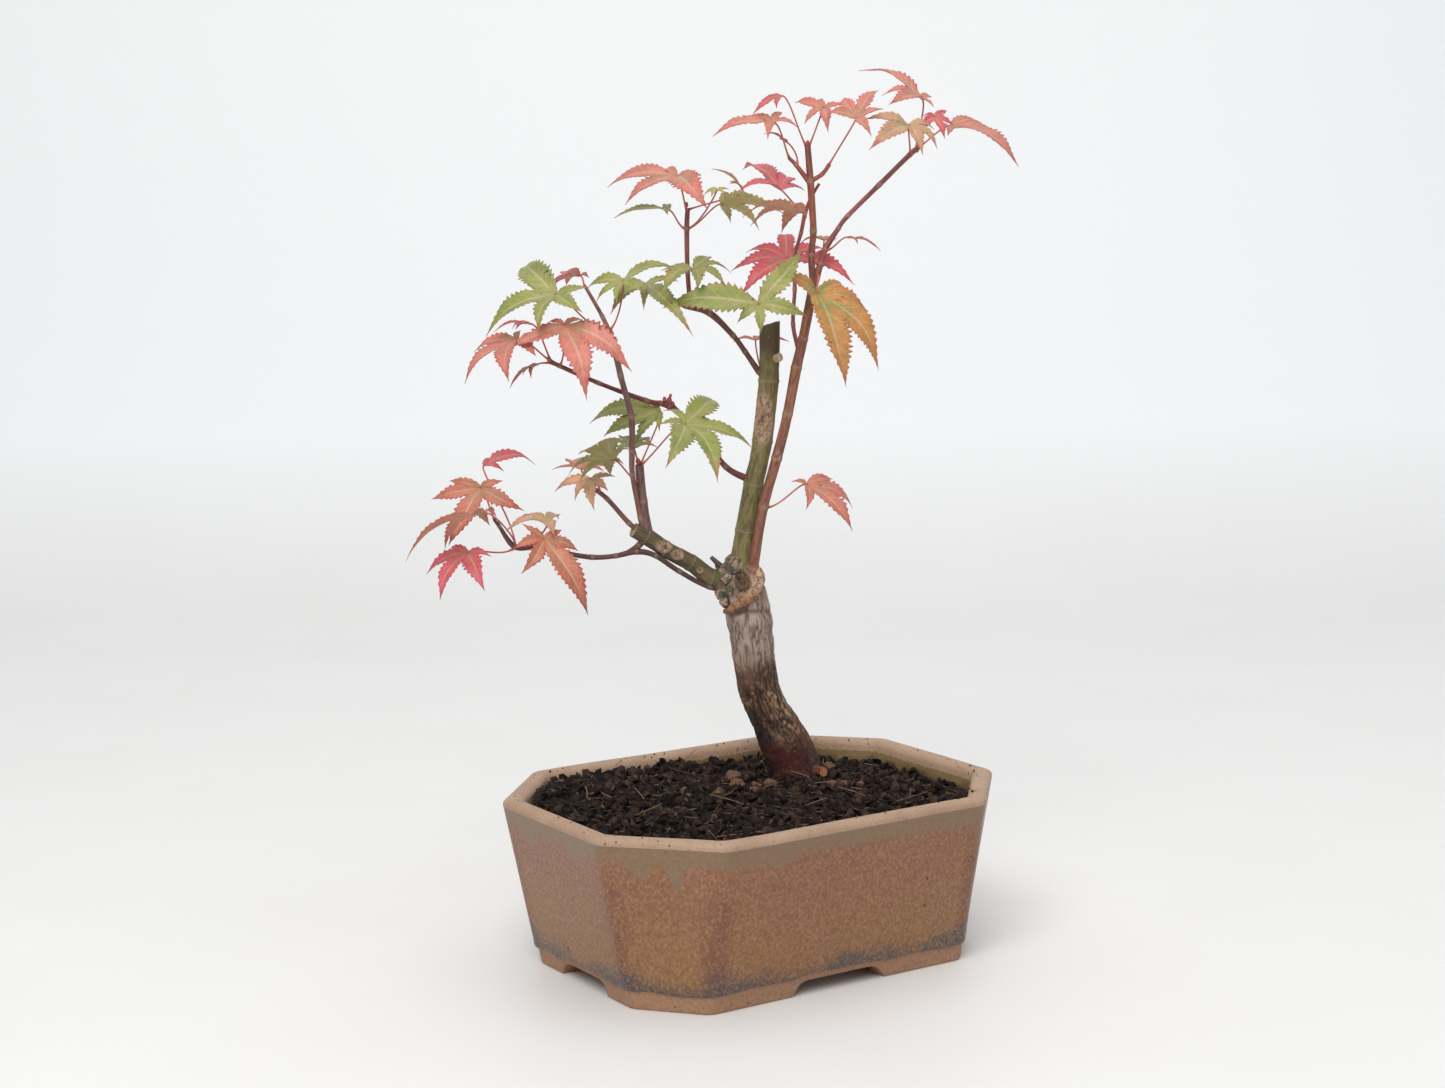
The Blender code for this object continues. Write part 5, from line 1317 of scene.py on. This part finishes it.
# %% Leaf colours: heart, blade, edge and tip
LEAF_TINTS = {
    "russet": ((0.425, 0.223, 0.122), (0.476, 0.154, 0.097),
               (0.399, 0.073, 0.054), (0.238, 0.039, 0.032)),
    "salmon": ((0.468, 0.239, 0.144), (0.527, 0.166, 0.126),
               (0.476, 0.089, 0.083), (0.306, 0.042, 0.043)),
    "pink": ((0.510, 0.154, 0.137), (0.561, 0.089, 0.112),
             (0.510, 0.042, 0.079), (0.340, 0.023, 0.043)),
    "tan": ((0.374, 0.293, 0.130), (0.476, 0.262, 0.144),
            (0.476, 0.154, 0.101), (0.306, 0.069, 0.043)),
    "green": ((0.340, 0.331, 0.122), (0.230, 0.266, 0.061),
              (0.323, 0.223, 0.079), (0.323, 0.077, 0.050)),
    "lime": ((0.442, 0.416, 0.144), (0.374, 0.385, 0.090),
             (0.476, 0.293, 0.119), (0.391, 0.131, 0.072)),
    "orange": ((0.281, 0.277, 0.065), (0.476, 0.223, 0.065),
               (0.493, 0.131, 0.065), (0.323, 0.062, 0.036)),
}
STALK_TONE = colour(0.42, 0.105, 0.085)


def leaf_tint(points, along, across, kind, rng, seed):
    """Heart to blade by the way along, blade to edge by the way across and along with
    ragged noise, edge to tip at the very end, and patches a little lighter or darker."""
    heart, body_tone, edge_tone, tip_tone = (colour(*c) for c in LEAF_TINTS[kind])
    patchy = unevenness(points, 4.5 * MM, seed, 3)
    early = rng.uniform(-0.12, 0.12)
    tint = blend(heart, body_tone, step_up(along + 0.35 * across + 0.25 * patchy, 0.1, 0.6))
    rust = step_up(0.55 * along + 0.75 * across ** 2 + 0.35 * patchy + early, 0.62, 1.25)
    tint = blend(tint, edge_tone, rust)
    tint = blend(tint, tip_tone, step_up(along + 0.12 * patchy, 0.80, 1.02) * 0.85)
    return np.clip(tint * (1 + 0.20 * patchy[:, None]) * rng.uniform(0.92, 1.06), 0, 1)


print("leaf kinds:", ", ".join(LEAF_TINTS))


# %% The leaf finish
leaf_skin, tree, shader = new_finish("maple_leaf", Coat_Weight=0.08, Coat_Roughness=0.35)
tint = stored(tree, "leaf_tint", "Color")
along_lobe, across_lobe = stored(tree, "along_lobe"), stored(tree, "across_lobe")
main_vein = between(tree, across_lobe, 0.13, 0.03)
main_vein = times(tree, main_vein, between(tree, along_lobe, 0.95, 0.6))
chevron = times_plus(tree, across_lobe, -0.16, along_lobe)
saw = math_node(tree, "FRACT", times(tree, chevron, 9.0))
wave = math_node(tree, "ABSOLUTE", math_node(tree, "SUBTRACT", saw, 0.5))
side_vein = times(tree, between(tree, wave, 0.12, 0.02), between(tree, across_lobe, 0.95, 0.55))
mottle = noise(tree, 1.1 * MM, 4, rough=0.65)
cell_net = cells(tree, 0.55 * MM)
pale_tint = mix(tree, 0.55, tint, (0.86, 0.62, 0.42))
tone = mix(tree, between(tree, mottle, 0.35, 0.7, 0.0, 0.35), tint, (1.0, 0.9, 0.75), "SOFT_LIGHT")
tone = mix(tree, between(tree, mottle, 0.42, 0.28, 0.0, 0.35), tone, (0.55, 0.35, 0.3), "MULTIPLY")
blade_only = stored(tree, "is_blade")
for vein, strength in ((side_vein, 0.30), (main_vein, 0.60)):
    tone = mix(tree, times(tree, vein, times(tree, blade_only, strength)), tone, pale_tint)
spot = between(tree, cells(tree, 7 * MM), 0.085, 0.055)
tone = mix(tree, times(tree, spot, blade_only), tone, (0.16, 0.07, 0.035))
feed(tree, shader.inputs["Base Color"], tone)
feed(tree, shader.inputs["Roughness"], between(tree, mottle, 0.3, 0.7, 0.40, 0.58))
relief = times_plus(tree, side_vein, -0.5, times(tree, cell_net, 0.25))
relief = times_plus(tree, main_vein, -0.8, relief)
raise_surface(tree, shader, relief, 0.22 * MM, 0.55)
print("leaf finish nodes:", len(tree.nodes))

# %% Every leaf with its stalk
leaf_points = 0
for number, (name, shoot, base, heading, tilt, roll, lobes, kind) in enumerate(LEAVES):
    rng = np.random.default_rng(500 + number)
    turn = (turn_about("Z", math.degrees(TREE_TURN)) @ turn_about("Z", heading)
            @ turn_about("Y", tilt) @ turn_about("X", roll))
    place = from_tree(base)
    sheet, quads, triangles, (along, across) = blade_sheet(lobes, rng)
    size = max(length for _, length in lobes)
    rumple = unevenness(sheet * (1, 1, 0), 0.33 * size, 700 + number, 2)
    sheet[:, 2] += 0.022 * size * rumple * step_up(along, 0, 0.3)
    sheet[:, 2] -= 0.30 * bell(across, 0, 0.16) * step_up(1 - along, 0, 0.3)
    points, faces = thicken(sheet, quads, triangles, LEAF_THICKNESS)
    points = points @ turn.T * MM + place
    tint = leaf_tint(points, np.tile(along, 2), np.tile(across, 2), kind, rng, 900 + number)
    tint[len(sheet):] = blend(tint[len(sheet):], colour(0.62, 0.45, 0.30), 0.25)
    start, leave = stalk_start(place, shoot)
    arrive = turn @ np.array([1.0, 0, 0])
    stalk = close_tube(stalk_rings(start, place + arrive * STALK_OVERLAP, leave, arrive))
    points, faces = join_shells([(points, faces), stalk])
    leaf = new_piece(f"maple_leaf_{name}", points, faces, leaf_skin, f"leaf_{name}")
    stalk_tint = STALK_TONE * (1 + 0.25 * unevenness(stalk[0], 5 * MM, 3)[:, None])
    bare = np.zeros(len(stalk[0]))
    for kept_name, blade, on_stalk in (
            ("leaf_tint", tint, np.clip(stalk_tint, 0, 1)), ("along_lobe", np.tile(along, 2), bare),
            ("across_lobe", np.tile(across, 2), bare + 1),
            ("is_blade", np.ones(2 * len(sheet)), bare)):
        store(leaf, kept_name, np.concatenate([blade, on_stalk]))
    leaf_points += len(points)
print(len(LEAVES), "leaves,", leaf_points, "points")

# %% [markdown]
# ## Soil
#
# The soil is dark fibrous peat with lumps of fired clay in it, heaped a little at the
# back left. One smooth surface with a bumpy material would look like tar. So the ground
# is a grid over "how far out" and "how far round" whose height has noise at three
# scales, and thousands of crumbs, flakes, straws and clay lumps lie on it. Each crumb
# has only twenty faces, because there are so many of them.

# %% The height of the soil, anywhere in the pot
MOUND_X, MOUND_Y, MOUND_SPREAD = -0.26 * POT_LENGTH, 0.14 * POT_WIDTH, 34 * MM
SOIL_TILT, SOIL_MOUND, SOIL_WAVE, SOIL_WAVE_LENGTH = 3.5 * MM, 4 * MM, 0.5 * MM, 50 * MM
SOIL_EDGE_LIMIT, SOIL_EDGE_SHARE, SOIL_GAP = 3 * MM, 0.12, 0.3 * MM
SOIL_SETTLED = 2.6                     # the crumbs on top make up for this, in millimetres


def soil_height(x, y, edge_share):
    """The CAD's soil line (a tilt, a mound, a slow wave) with crumbly noise added. Near
    the wall (edge_share near 0) it stays below the rim."""
    reach = POT_LENGTH / 2 - WALL
    tilt = SOIL_TILT * (TRUNK_X - x) / reach
    away = ((x - MOUND_X) ** 2 + (y - MOUND_Y) ** 2) / (2 * MOUND_SPREAD ** 2)
    turn = math.tau / SOIL_WAVE_LENGTH
    level = (SOIL_LEVEL + tilt + SOIL_MOUND * np.exp(-away)
             + SOIL_WAVE * np.sin(turn * x) * np.cos(turn * y))
    limit = POT_HEIGHT - SOIL_EDGE_LIMIT
    level = between_two(np.minimum(level, limit), level,
                        np.clip(edge_share / SOIL_EDGE_SHARE, 0, 1))
    flat = np.stack([x, y, 0 * x], -1)
    crumbly = (1.7 * unevenness(flat, 13 * MM, 71) + 2.4 * np.abs(unevenness(flat, 5.5 * MM, 72))
               + 1.4 * unevenness(flat, 2.4 * MM, 73, 2))
    return level + (crumbly - SOIL_SETTLED) * MM


wall_ring = outline(np.array([WALL + SOIL_GAP]), np.array([SOIL_LEVEL]))[0]


def wall_reach(turn):
    """How far the wall is from the pot's middle in each direction."""
    angles = np.arctan2(wall_ring[:, 1], wall_ring[:, 0])
    order = np.argsort(angles)
    return np.interp(turn, angles[order], np.hypot(*wall_ring[order].T), period=math.tau)


print("from the middle to the wall:", wall_reach(np.array([0, math.pi / 2])).round(3), "m")

# %% The ground's grid
BED_COLUMNS, BED_ROWS = 420, 110
turn = np.linspace(0, math.tau, BED_COLUMNS, endpoint=False)
share = 1 - np.linspace(0, 1, BED_ROWS, endpoint=False) ** 1.1
reach = wall_reach(turn)
x, y = share[:, None] * reach * np.cos(turn), share[:, None] * reach * np.sin(turn)
top = np.stack([x, y, soil_height(x, y, 1 - share[:, None])], -1)
sunk = np.array([FLOOR_TOP + 0.3 * MM, FLOOR_TOP + FILLET, SOIL_LEVEL - 4 * MM])
lean_in = WALL_LEAN * (SOIL_LEVEL - sunk) / POT_HEIGHT + np.array([FILLET, 0, 0]) + 0.3 * MM
under_ground = np.stack(np.broadcast_arrays((reach - lean_in[:, None]) * np.cos(turn),
                                            (reach - lean_in[:, None]) * np.sin(turn),
                                            sunk[:, None]), -1)
bed = np.concatenate([under_ground[:1] * (0.05, 0.05, 1), under_ground, top])
bed_points, bed_faces = close_tube(bed)
soil_parts = [(bed_points, bed_faces)]
soil_tones = [np.zeros(len(bed_points))]
loose_parts, loose_tones = [], []      # what lies on top is a piece of its own
print("ground:", bed.shape)

# %% Crumbs and flakes
GOLD = (1 + math.sqrt(5)) / 2
CRUMB = np.array([(-1, GOLD, 0), (1, GOLD, 0), (-1, -GOLD, 0), (1, -GOLD, 0),
                  (0, -1, GOLD), (0, 1, GOLD), (0, -1, -GOLD), (0, 1, -GOLD),
                  (GOLD, 0, -1), (GOLD, 0, 1), (-GOLD, 0, -1), (-GOLD, 0, 1)]) / 1.9
CRUMB_FACES = np.array([(0, 11, 5), (0, 5, 1), (0, 1, 7), (0, 7, 10), (0, 10, 11), (1, 5, 9),
                        (5, 11, 4), (11, 10, 2), (10, 7, 6), (7, 1, 8), (3, 9, 4), (3, 4, 2),
                        (3, 2, 6), (3, 6, 8), (3, 8, 9), (4, 9, 5), (2, 4, 11), (6, 2, 10),
                        (8, 6, 7), (9, 8, 1)])
rng = np.random.default_rng(77)


def random_turns(count):
    """Random rotations, from random quaternions (w, x, y, z) of length one."""
    w, x, y, z = (q := rng.normal(size=(4, count))) / np.linalg.norm(q, axis=0)
    rows = [(1 - 2 * (y * y + z * z), 2 * (x * y - z * w), 2 * (x * z + y * w)),
            (2 * (x * y + z * w), 1 - 2 * (x * x + z * z), 2 * (y * z - x * w)),
            (2 * (x * z - y * w), 2 * (y * z + x * w), 1 - 2 * (x * x + y * y))]
    return np.moveaxis(np.array(rows), -1, 0)


def scatter_places(count):
    """Random places on the soil: a direction, and the root of a random share of the way
    to the wall, which is even over the area."""
    turn = rng.uniform(0, math.tau, count)
    share = np.minimum(rng.uniform(0, 1, count) ** 0.5, 0.975)
    reach = wall_reach(turn) * share
    x, y = reach * np.cos(turn), reach * np.sin(turn)
    return np.stack([x, y, soil_height(x, y, 1 - share)], -1)


def strew(places, sizes, flat):
    """Many crumbs at once: the twenty-sided shape with each corner pushed at random,
    squeezed by flat on one side, turned, sized and put in place."""
    count = len(places)
    shapes = CRUMB * rng.uniform(0.55, 1.35, (count, 12, 1)) * np.array([1, 0.8, flat])
    shapes = np.einsum("nij,nkj->nki", random_turns(count), shapes)
    points = places[:, None] + shapes * sizes[:, None, None]
    faces = CRUMB_FACES + np.arange(count)[:, None, None] * 12
    return points.reshape(-1, 3), [faces.reshape(-1, 3)]


# How many, smallest and largest size in millimetres, flatness, tone, and how far up
CRUMBS = ((1800, 0.6, 1.6, 0.6, 0.0, 0.2), (2400, 1.3, 3.3, 0.13, 0.10, 0.45),
          (260, 1.5, 3.2, 0.6, 0.08, 0.3), (700, 0.8, 2.3, 0.14, 0.30, 0.5),
          (300, 0.5, 1.2, 0.7, 0.5, 0.3))
for count, low_size, high_size, flat, tone, lift in CRUMBS:
    places = scatter_places(count)
    sizes = rng.uniform(low_size, high_size, count) * MM
    places[:, 2] += sizes * lift
    loose_parts.append(strew(places, sizes, flat))
    own_tone = np.minimum(2.5 * tone * rng.uniform(0, 1, count) ** 2, 0.6)
    loose_tones.append(np.repeat(own_tone, len(CRUMB)))
print("crumbs and flakes:", sum(row[0] for row in CRUMBS))

# %% Clay lumps
# Clay lumps: across, away from the trunk's foot in the tree's frame, and size
CLAY = [(-29, -27, 3.1), (-19, -31, 2.4), (-27, -38, 2.9), (-13, -29, 2.6), (-14, -25, 1.8),
        (14, -27, 2.2), (19, -28, 1.9), (5, -22, 1.8), (-44, -32, 2.0), (-58, -40, 1.7),
        (-35, -52, 1.9), (-50, -55, 1.6), (-8, -8, 1.5), (9, 8, 2.8), (15, 10, 2.2),
        (-75, -30, 1.8), (-66, -18, 1.5), (27, -20, 1.5), (-20, -46, 1.7), (-46, -12, 1.6),
        (-90, -8, 1.8)]
CLAY_SHAPE = np.array([1.12, 1.008, 0.896])    # a lump's half sizes as shares of its size
CLAY_TONE = 0.9
for number, (a, w, size) in enumerate(CLAY):
    x, y, _ = from_tree((a, w, 0))
    middle = np.array([x, y, float(soil_height(np.array(x), np.array(y), 1.0)) + 0.75 * size * MM])
    rings = lump_rings(middle, CLAY_SHAPE * size * MM, 300 + number, 0.38, 16, 24)
    soil_parts.append(close_tube(rings))
    soil_tones.append(np.full(rings.shape[0] * rings.shape[1] + 2, CLAY_TONE))
print("clay lumps:", len(CLAY))


# %% Straws and root hairs
STRAW_STATIONS, STRAW_SIDES = 7, 4


def straws(count, low_length, high_length, radius, tone):
    """Many thin bent tubes at once: stations along a curve that lies on the ground,
    sags or lifts at random, each with four points round it, and a quad at each end."""
    base = scatter_places(count)
    heading, bend = rng.uniform(0, math.tau, count), rng.normal(0, 0.9, count)
    length = rng.uniform(low_length, high_length, count) * MM
    t = np.linspace(-0.5, 0.5, STRAW_STATIONS)
    angle = heading[:, None] + bend[:, None] * t
    ahead = np.stack([np.cos(angle), np.sin(angle), rng.normal(0, 0.22, (count, 1)) + 0 * t], -1)
    route = base[:, None] + np.cumsum(ahead, 1) * (length / STRAW_STATIONS)[:, None, None]
    route[..., 2] += rng.uniform(0.1, 1.3, count)[:, None] * MM
    x, y = route[..., 0], route[..., 1]
    inward = np.hypot(x, y) / wall_reach(np.arctan2(y, x))
    route[..., :2] *= np.minimum(0.985 / inward, 1)[..., None]
    side = np.stack([-ahead[..., 1], ahead[..., 0], 0 * ahead[..., 0]], -1)
    turn = np.arange(STRAW_SIDES) * math.tau / STRAW_SIDES
    taper = (1 - 1.6 * t ** 2)[:, None, None]
    round_it = (side[:, :, None] * np.cos(turn)[:, None]
                + np.array([0, 0, 1.0]) * np.sin(turn)[:, None])
    rings = route[:, :, None] + round_it * radius * MM * taper
    points_each = STRAW_STATIONS * STRAW_SIDES
    last = points_each - STRAW_SIDES + np.arange(STRAW_SIDES)
    faces = np.concatenate([grid_faces(STRAW_STATIONS, STRAW_SIDES),
                            np.array([np.arange(STRAW_SIDES)[::-1], last])])
    faces = faces + np.arange(count)[:, None, None] * points_each
    loose_parts.append((rings.reshape(-1, 3), [faces.reshape(-1, STRAW_SIDES)]))
    loose_tones.append(np.repeat(tone * rng.uniform(0.5, 1.2, count), points_each))


straws(520, 3, 9, 0.16, 0.75)
straws(110, 8, 18, 0.22, 1.25)
straws(800, 2, 7, 0.26, 0.26)
print("loose shells:", len(loose_parts))

# %% Crumbs left on the rim and stuck inside the wall
RIM_CRUMBS = 70
turn = rng.uniform(0, math.tau, RIM_CRUMBS)
beside = wall_reach(turn) + rng.uniform(-0.3, 6.5, RIM_CRUMBS) * MM
rim_places = np.stack([beside * np.cos(turn), beside * np.sin(turn),
                       np.full(RIM_CRUMBS, POT_HEIGHT) + 0.1 * MM], -1)
loose_parts.append(strew(rim_places, rng.uniform(0.25, 0.7, RIM_CRUMBS) * MM, 0.6))
loose_tones.append(np.repeat(0.15 * rng.uniform(0, 1.5, RIM_CRUMBS), len(CRUMB)))
print("crumbs on the rim:", RIM_CRUMBS)

# %% The soil finish and piece
peat, tree, shader = new_finish("peat_soil", Specular_IOR_Level=0.25)
tone = stored(tree, "soil_tone")
grain = noise(tree, 0.9 * MM, 4, rough=0.7)
clumps = noise(tree, 6 * MM, 3)
dark = mix(tree, between(tree, clumps, 0.35, 0.7), (0.005, 0.0032, 0.0032), (0.020, 0.0118, 0.0107))
dark = mix(tree, between(tree, grain, 0.52, 0.72, 0.0, 0.7), dark, (0.042, 0.025, 0.020))
straw = mix(tree, between(tree, grain, 0.3, 0.7), (0.20, 0.115, 0.060), (0.36, 0.24, 0.13))
clay_lump = mix(tree, between(tree, grain, 0.35, 0.65), (0.085, 0.043, 0.028), (0.22, 0.125, 0.078))
brown = mix(tree, between(tree, tone, 0.62, 0.75), clay_lump, straw)
brown = mix(tree, between(tree, tone, 0.8, 0.84), brown, clay_lump)
brown = mix(tree, between(tree, tone, 0.93, 1.0), brown, straw)
feed(tree, shader.inputs["Base Color"], mix(tree, between(tree, tone, 0.02, 0.6), dark, brown))
feed(tree, shader.inputs["Roughness"], between(tree, grain, 0.3, 0.7, 0.78, 0.98))
raise_surface(tree, shader, grain, 0.5 * MM, 0.8)
for name, parts, tones in (("peat_soil", soil_parts, soil_tones),
                           ("peat_crumbs", loose_parts, loose_tones)):
    points, faces = join_shells(parts)
    piece = new_piece(name, points, faces, peat, "soil")
    store(piece, "soil_tone", np.concatenate(tones))
    print(name, len(points), "points")


# %% [markdown]
# ## Drainage
#
# Under the soil, a square of black plastic mesh lies over each hole and a bent wire
# holds it. The CAD's own shapes are right, so they stay and only get a finish: moulded
# plastic with a faint grain and soil dust, and drawn aluminium wire with fine streaks.

# %% Plastic mesh and aluminium wire
plastic, tree, shader = new_finish("mesh_plastic")
dust = noise(tree, 2.5 * MM, 4)
feed(tree, shader.inputs["Base Color"],
     mix(tree, between(tree, dust, 0.5, 0.75), (0.016, 0.017, 0.018), (0.075, 0.055, 0.04)))
feed(tree, shader.inputs["Roughness"], between(tree, dust, 0.3, 0.7, 0.42, 0.75))
raise_surface(tree, shader, noise(tree, 0.6 * MM, 3), 0.1 * MM, 0.4)

wire, tree, shader = new_finish("aluminium_wire", Metallic=1.0)
drawn_lines = noise(tree, 0.4 * MM, 3, stretch=(0.12, 1, 1))
feed(tree, shader.inputs["Base Color"],
     mix(tree, drawn_lines, (0.46, 0.36, 0.28), (0.66, 0.55, 0.45)))
feed(tree, shader.inputs["Roughness"], between(tree, drawn_lines, 0.3, 0.7, 0.30, 0.52))
raise_surface(tree, shader, drawn_lines, 0.05 * MM, 0.4)

for name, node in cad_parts.items():
    if name.startswith("drain_"):
        node.data.materials.clear()
        node.data.materials.append(plastic if "mesh" in name else wire)
print("drainage finished")

# %% [markdown]
# ## Floor, light and camera
#
# The pot stands on a pale table in front of a pale wall, in soft daylight from one large
# side. The floor bends up into the wall, so there is no line behind the tree. One large
# area light above the left shoulder gives soft shadows; the pale world fills the rest.

# %% A sweep of floor and wall
CAMERA_PLACE = np.array([-572.1, -869.8, 322.8]) * MM
CAMERA_YAW, CAMERA_PITCH, CAMERA_ROLL = np.radians([32.73, 8.0, -0.905])
LENS = 62.27

pale, tree, shader = new_finish("pale_ground", Roughness=0.55)
floor_tone = mix(tree, noise(tree, 120 * MM, 4), (0.82, 0.81, 0.797), (0.87, 0.865, 0.857))
feed(tree, shader.inputs["Base Color"],
     mix(tree, between(tree, height_of_point(tree), 0.01, 0.12), floor_tone, (0.975, 0.98, 0.985)))
NEAR_END, FLOOR_END, BEND = -2.2, 0.75, 0.6       # metres from the pot's middle
quarter = np.linspace(0, math.pi / 2, 12)[1:]
along = np.concatenate([np.linspace(NEAR_END, FLOOR_END, 8), FLOOR_END + BEND * np.sin(quarter),
                        np.full(3, FLOOR_END + BEND)])
lift = np.concatenate([np.zeros(8), BEND - BEND * np.cos(quarter), (1.2, 2.0, 3.0)])
across = np.linspace(-3, 3, 9)
away_x, away_y = math.sin(CAMERA_YAW), math.cos(CAMERA_YAW)
sweep = np.stack(np.broadcast_arrays(along[:, None] * away_x + across * away_y,
                                     along[:, None] * away_y - across * away_x,
                                     lift[:, None]), -1)
sweep_faces = grid_faces(len(along), len(across), wrap=False)[:, ::-1]
ground = in_scene("ground", mesh_from("ground", sweep.reshape(-1, 3), [sweep_faces]))
ground.data.shade_smooth()
ground.data.materials.append(pale)
print("sweep:", sweep.shape)


# %% Lights
def facing(right, up, back, place):
    """An object's matrix from its own three directions and its place, in columns."""
    matrix = np.eye(4)
    matrix[:3] = np.column_stack([right, up, back, place])
    return Matrix(matrix.tolist())


def soft_light(name, place, target, size, power, colour=(1, 1, 1)):
    """A square area light that faces its target."""
    lamp = bpy.data.lights.new(name, "AREA")
    lamp.shape, lamp.size, lamp.energy, lamp.color = "SQUARE", size, power, colour
    back = np.asarray(place, float) - np.asarray(target, float)
    back /= np.linalg.norm(back)
    right = np.cross((0, 0, 1), back)
    right /= np.linalg.norm(right)
    in_scene(name, lamp).matrix_world = facing(right, np.cross(back, right), back, place)


soft_light("window", (-1.0, -0.9, 1.5), (0, 0, 0.12), 1.1, 22, (1, 0.985, 0.955))
soft_light("ceiling", (0.3, -0.1, 1.7), (0, 0, 0.1), 1.6, 7.5)
world = bpy.data.worlds.new("pale_room")
world.use_nodes = True
world.node_tree.nodes["Background"].inputs["Color"].default_value = (0.95, 0.97, 1.0, 1)
world.node_tree.nodes["Background"].inputs["Strength"].default_value = 0.50
bpy.context.scene.world = world
print("lights:", len(bpy.data.lights))
bpy.context.scene.view_settings.view_transform = "Standard"

# %% The camera
forward = np.array([math.sin(CAMERA_YAW) * math.cos(CAMERA_PITCH),
                    math.cos(CAMERA_YAW) * math.cos(CAMERA_PITCH), -math.sin(CAMERA_PITCH)])
level_right = np.array([math.cos(CAMERA_YAW), -math.sin(CAMERA_YAW), 0])
level_up = np.cross(level_right, forward)
right = math.cos(CAMERA_ROLL) * level_right + math.sin(CAMERA_ROLL) * level_up
up = -math.sin(CAMERA_ROLL) * level_right + math.cos(CAMERA_ROLL) * level_up
lens = bpy.data.cameras.new("view")
lens.lens, lens.sensor_width = LENS, 36
camera = in_scene("view", lens)
camera.matrix_world = facing(right, up, -forward, CAMERA_PLACE)
bpy.context.scene.camera = camera
print("camera at", CAMERA_PLACE.round(3), "m")
